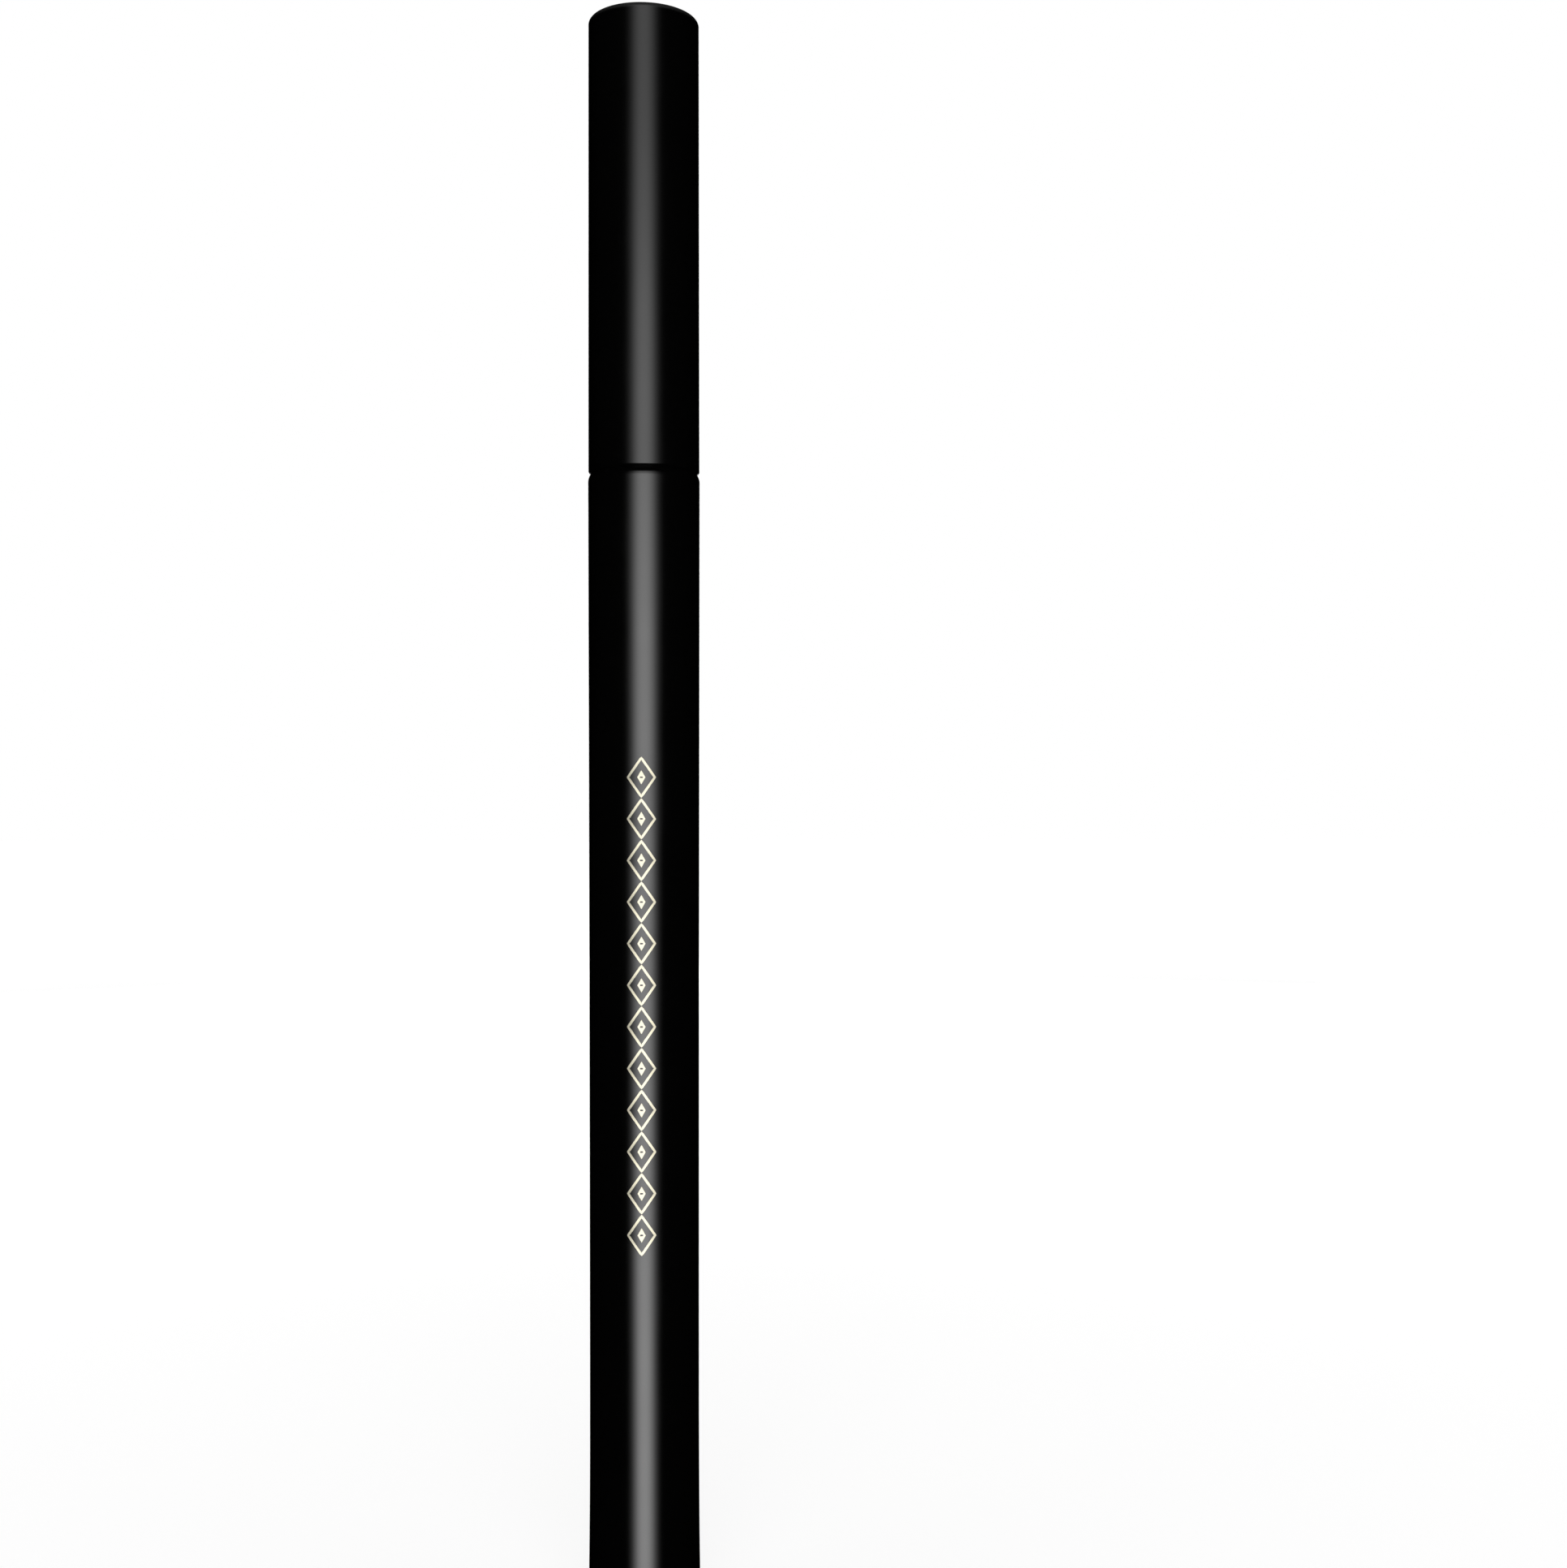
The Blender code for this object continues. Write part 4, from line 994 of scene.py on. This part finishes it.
def make_pen():
    """Every piece that shows, and a finish for every solid that stays."""
    barrel_black = moulded_abs("moulded_abs_barrel", specular_level=0.55, roughness=0.15)
    # The cap's rim: its grey #2A2A2A is a painted highlight, and 0.6 is its satin roughness
    cap_black = moulded_abs(
        "moulded_abs_cap", specular_level=0.43, roughness=0.17, rim=("#2A2A2A", 0.6)
    )
    neck_black = moulded_abs("moulded_abs_neck", specular_level=0.60, roughness=0.14)
    milky = natural_polypropylene()
    rubber = nitrile_rubber()
    steel = drawn_steel()
    fibre = bonded_fibre()
    bristle = wet_filament("pbt_filament_wet", roughness=0.34)
    root_black = wet_filament("pbt_root_bonded", roughness=0.5)
    gold = stamped_foil()

    fit(make_barrel(barrel_black), "pen_body", "black_gloss_plastic", "barrel")
    fit(make_tail_cap(barrel_black), "pen_body", "black_gloss_plastic", "tail_cap")
    fit(make_neck(neck_black), "pen_body", "black_neck_plastic", "front_section")
    fit(make_cap(cap_black), "cap_body", "black_gloss_plastic", "cap_shell")
    fit(make_liner(milky), "cap_body", "natural_polypropylene", "cap_liner")
    fit(make_cup(milky), "seal_cup_body", "natural_polypropylene", "seal_cup")
    fit(make_gasket(rubber), "seal_cup_body", "black_elastomer", "seal_gasket")

    fit(make_bristles(bristle), "pen_body", "inked_bristle", "brush_tip")
    fit(make_brush_root(root_black), "pen_body", "inked_bristle")

    spring = make_spring(steel)
    fit(spring, "cap_body", "polished_steel", "seal_spring")
    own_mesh(spring)

    fit(make_foil(gold), "pen_body", "black_gloss_plastic")

    hidden = {
        "ink_tank": milky, "tank_stopper": milky, "collector": milky, "feed_pipe": milky,
        "brush_collar": milky, "relay_core": fibre, "overflow_sponge": fibre,
        "agitator_ball": steel, "stopper_seal_ring": rubber, "section_seal_ring": rubber,
        "tank_gland": rubber,
    }
    for name, finish in hidden.items():
        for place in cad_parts[name].material_slots:
            place.material = finish


def seen_directly(tree):
    """1 for the rays that look at a backdrop: the camera's, and those off or through the pen."""
    rays = add_node(tree, "ShaderNodeLightPath").outputs
    looks = ("ADD", rays["Is Camera Ray"], rays["Is Glossy Ray"])
    return formula(tree, ("MINIMUM", ("ADD", looks, rays["Is Transmission Ray"]), 1.0))


def only_mirrored(piece):
    """Hides a lamp or a card from the camera, and keeps it from casting a shadow. The gloss still
    shows it, and a lamp still lights."""
    piece.visible_camera = False
    piece.visible_transmission = False
    piece.visible_shadow = False


def stage_piece(name, points, faces, finish):
    """A part of the studio."""
    mesh = bpy.data.meshes.new(name)
    mesh.from_pydata(points, [], faces)
    mesh.materials.append(finish)
    piece = bpy.data.objects.new(name, mesh)
    bpy.context.scene.collection.objects.link(piece)
    return piece


def make_floor():
    """A white paper floor that keeps the pen's soft shadow, and is plain white further out."""
    finish = bpy.data.materials.new("white_paper_sweep")
    finish.use_nodes = True
    tree = finish.node_tree
    tree.nodes.clear()
    paper = add_node(tree, "ShaderNodeBsdfDiffuse", {"Color": linear("#E8E8E8")})
    place = add_node(tree, "ShaderNodeTexCoord").outputs["Object"]
    from_pen = add_node(tree, "ShaderNodeVectorMath", {0: place}, operation="LENGTH")
    (near, near_glow), (far, far_glow) = SHADOW_GLOW, OPEN_GLOW
    glow = add_node(tree, "ShaderNodeMapRange", {
        "Value": from_pen.outputs["Value"], "From Min": near, "From Max": far,
        "To Min": near_glow, "To Max": far_glow,
    }).outputs["Result"]
    bright = add_node(tree, "ShaderNodeEmission", {
        "Strength": formula(tree, ("MULTIPLY", seen_directly(tree), glow)),
    })
    both = add_node(tree, "ShaderNodeAddShader", {
        0: paper.outputs["BSDF"], 1: bright.outputs["Emission"],
    })
    add_node(tree, "ShaderNodeOutputMaterial", {"Surface": both.outputs["Shader"]})
    half = FLOOR_HALF
    corners = [(-half, -half, 0.0), (half, -half, 0.0), (half, half, 0.0), (-half, half, 0.0)]
    floor = stage_piece("floor", corners, [(0, 1, 2, 3)], finish)
    # The photographed pen mirrors its lamp right down to the foot, and no floor
    floor.visible_glossy = False


def lamp_face(name):
    """A lamp's face, as bright as the glow written on its points."""
    finish = bpy.data.materials.new(name)
    finish.use_nodes = True
    tree = finish.node_tree
    tree.nodes.clear()
    written = add_node(tree, "ShaderNodeAttribute", attribute_name="glow")
    light = add_node(tree, "ShaderNodeEmission", {"Strength": written.outputs["Fac"]})
    add_node(tree, "ShaderNodeOutputMaterial", {"Surface": light.outputs["Emission"]})
    return finish


def steps_between(pairs, at):
    """The value at a place on a line through (place, value) pairs."""
    if at <= pairs[0][0]:
        return pairs[0][1]
    for (low, first), (high, second) in zip(pairs, pairs[1:]):
        if at <= high:
            return first + (second - first) * (at - low) / (high - low)
    return pairs[-1][1]


def make_strip(name, turn, edge, rungs):
    """A tall curved softbox round the pen, brightest along its middle line."""
    low, high = rungs[0][0], rungs[-1][0]
    radiances = [(height, radiance) for height, radiance, _ in rungs]
    half_widths = [(height, half_width) for height, _, half_width in rungs]
    points, glow, faces = [], [], []
    for row in range(LAMP_ROWS + 1):
        height = low + (high - low) * row / LAMP_ROWS
        radiance = steps_between(radiances, height)
        half_width = steps_between(half_widths, height)
        for column in range(LAMP_COLUMNS + 1):
            widths_away = LAMP_FACE * (2.0 * column / LAMP_COLUMNS - 1.0)
            angle = math.radians(turn + widths_away * half_width)
            across, back = LAMP_DISTANCE * math.sin(angle), -LAMP_DISTANCE * math.cos(angle)
            points.append((across, back, height))
            glow.append(radiance * math.exp(-0.5 * abs(widths_away) ** edge))
    for row in range(LAMP_ROWS):
        for column in range(LAMP_COLUMNS):
            at = row * (LAMP_COLUMNS + 1) + column
            faces.append((at, at + 1, at + LAMP_COLUMNS + 2, at + LAMP_COLUMNS + 1))
    strip = stage_piece(name, points, faces, lamp_face(name))
    strip.data.attributes.new("glow", "FLOAT", "POINT").data.foreach_set("value", glow)
    only_mirrored(strip)


def make_black_tent():
    """Black cards all round, seen only in the gloss: they keep the pen's sides as black as in
    the photograph, where nothing but the lamp is mirrored."""
    finish = bpy.data.materials.new("black_card")
    finish.use_nodes = True
    shader = finish.node_tree.nodes["Principled BSDF"]
    shader.inputs["Base Color"].default_value = linear("#000000")
    shader.inputs["Specular IOR Level"].default_value = 0.0
    shape = bmesh.new()
    bmesh.ops.create_icosphere(shape, subdivisions=3, radius=TENT_RADIUS)
    points = [tuple(point.co) for point in shape.verts]
    faces = [[point.index for point in face.verts] for face in shape.faces]
    shape.free()
    tent = stage_piece("black_tent", points, faces, finish)
    only_mirrored(tent)
    tent.visible_diffuse = False
    tent.visible_volume_scatter = False


def make_world():
    """Pure white where it is looked at, and a dim even fill where it lights."""
    world = bpy.data.worlds.new("white_room")
    bpy.context.scene.world = world
    world.use_nodes = True
    tree = world.node_tree
    tree.nodes.clear()
    brighter = ("MULTIPLY", seen_directly(tree), 1.0 - ROOM_FILL)
    room = add_node(tree, "ShaderNodeBackground", {
        "Color": linear("#FFFFFF"), "Strength": formula(tree, ("ADD", ROOM_FILL, brighter)),
    })
    add_node(tree, "ShaderNodeOutputWorld", {"Surface": room.outputs["Background"]})


def make_studio():
    """Floor, lamps and backdrop."""
    make_world()
    make_floor()
    make_black_tent()
    make_strip("front_strip", FRONT_TURN, FRONT_EDGE, FRONT_RUNGS)
    make_strip("back_strip", BACK_TURN, BACK_EDGE, BACK_RUNGS)


def make_camera():
    """The photograph's viewpoint."""
    lens = bpy.data.cameras.new("camera")
    lens.lens = CAMERA_LENS
    lens.sensor_width = CAMERA_SENSOR
    lens.clip_start = CAMERA_CLIP
    camera = bpy.data.objects.new("camera", lens)
    camera.location = CAMERA_PLACE
    # A camera looks straight down until it is turned up by 90 degrees
    camera.rotation_euler = (math.radians(90.0 + CAMERA_PITCH), math.radians(CAMERA_ROLL), 0.0)
    bpy.context.scene.collection.objects.link(camera)
    bpy.context.scene.camera = camera


make_pen()
make_studio()
make_camera()
bpy.context.scene.view_settings.view_transform = "Standard"
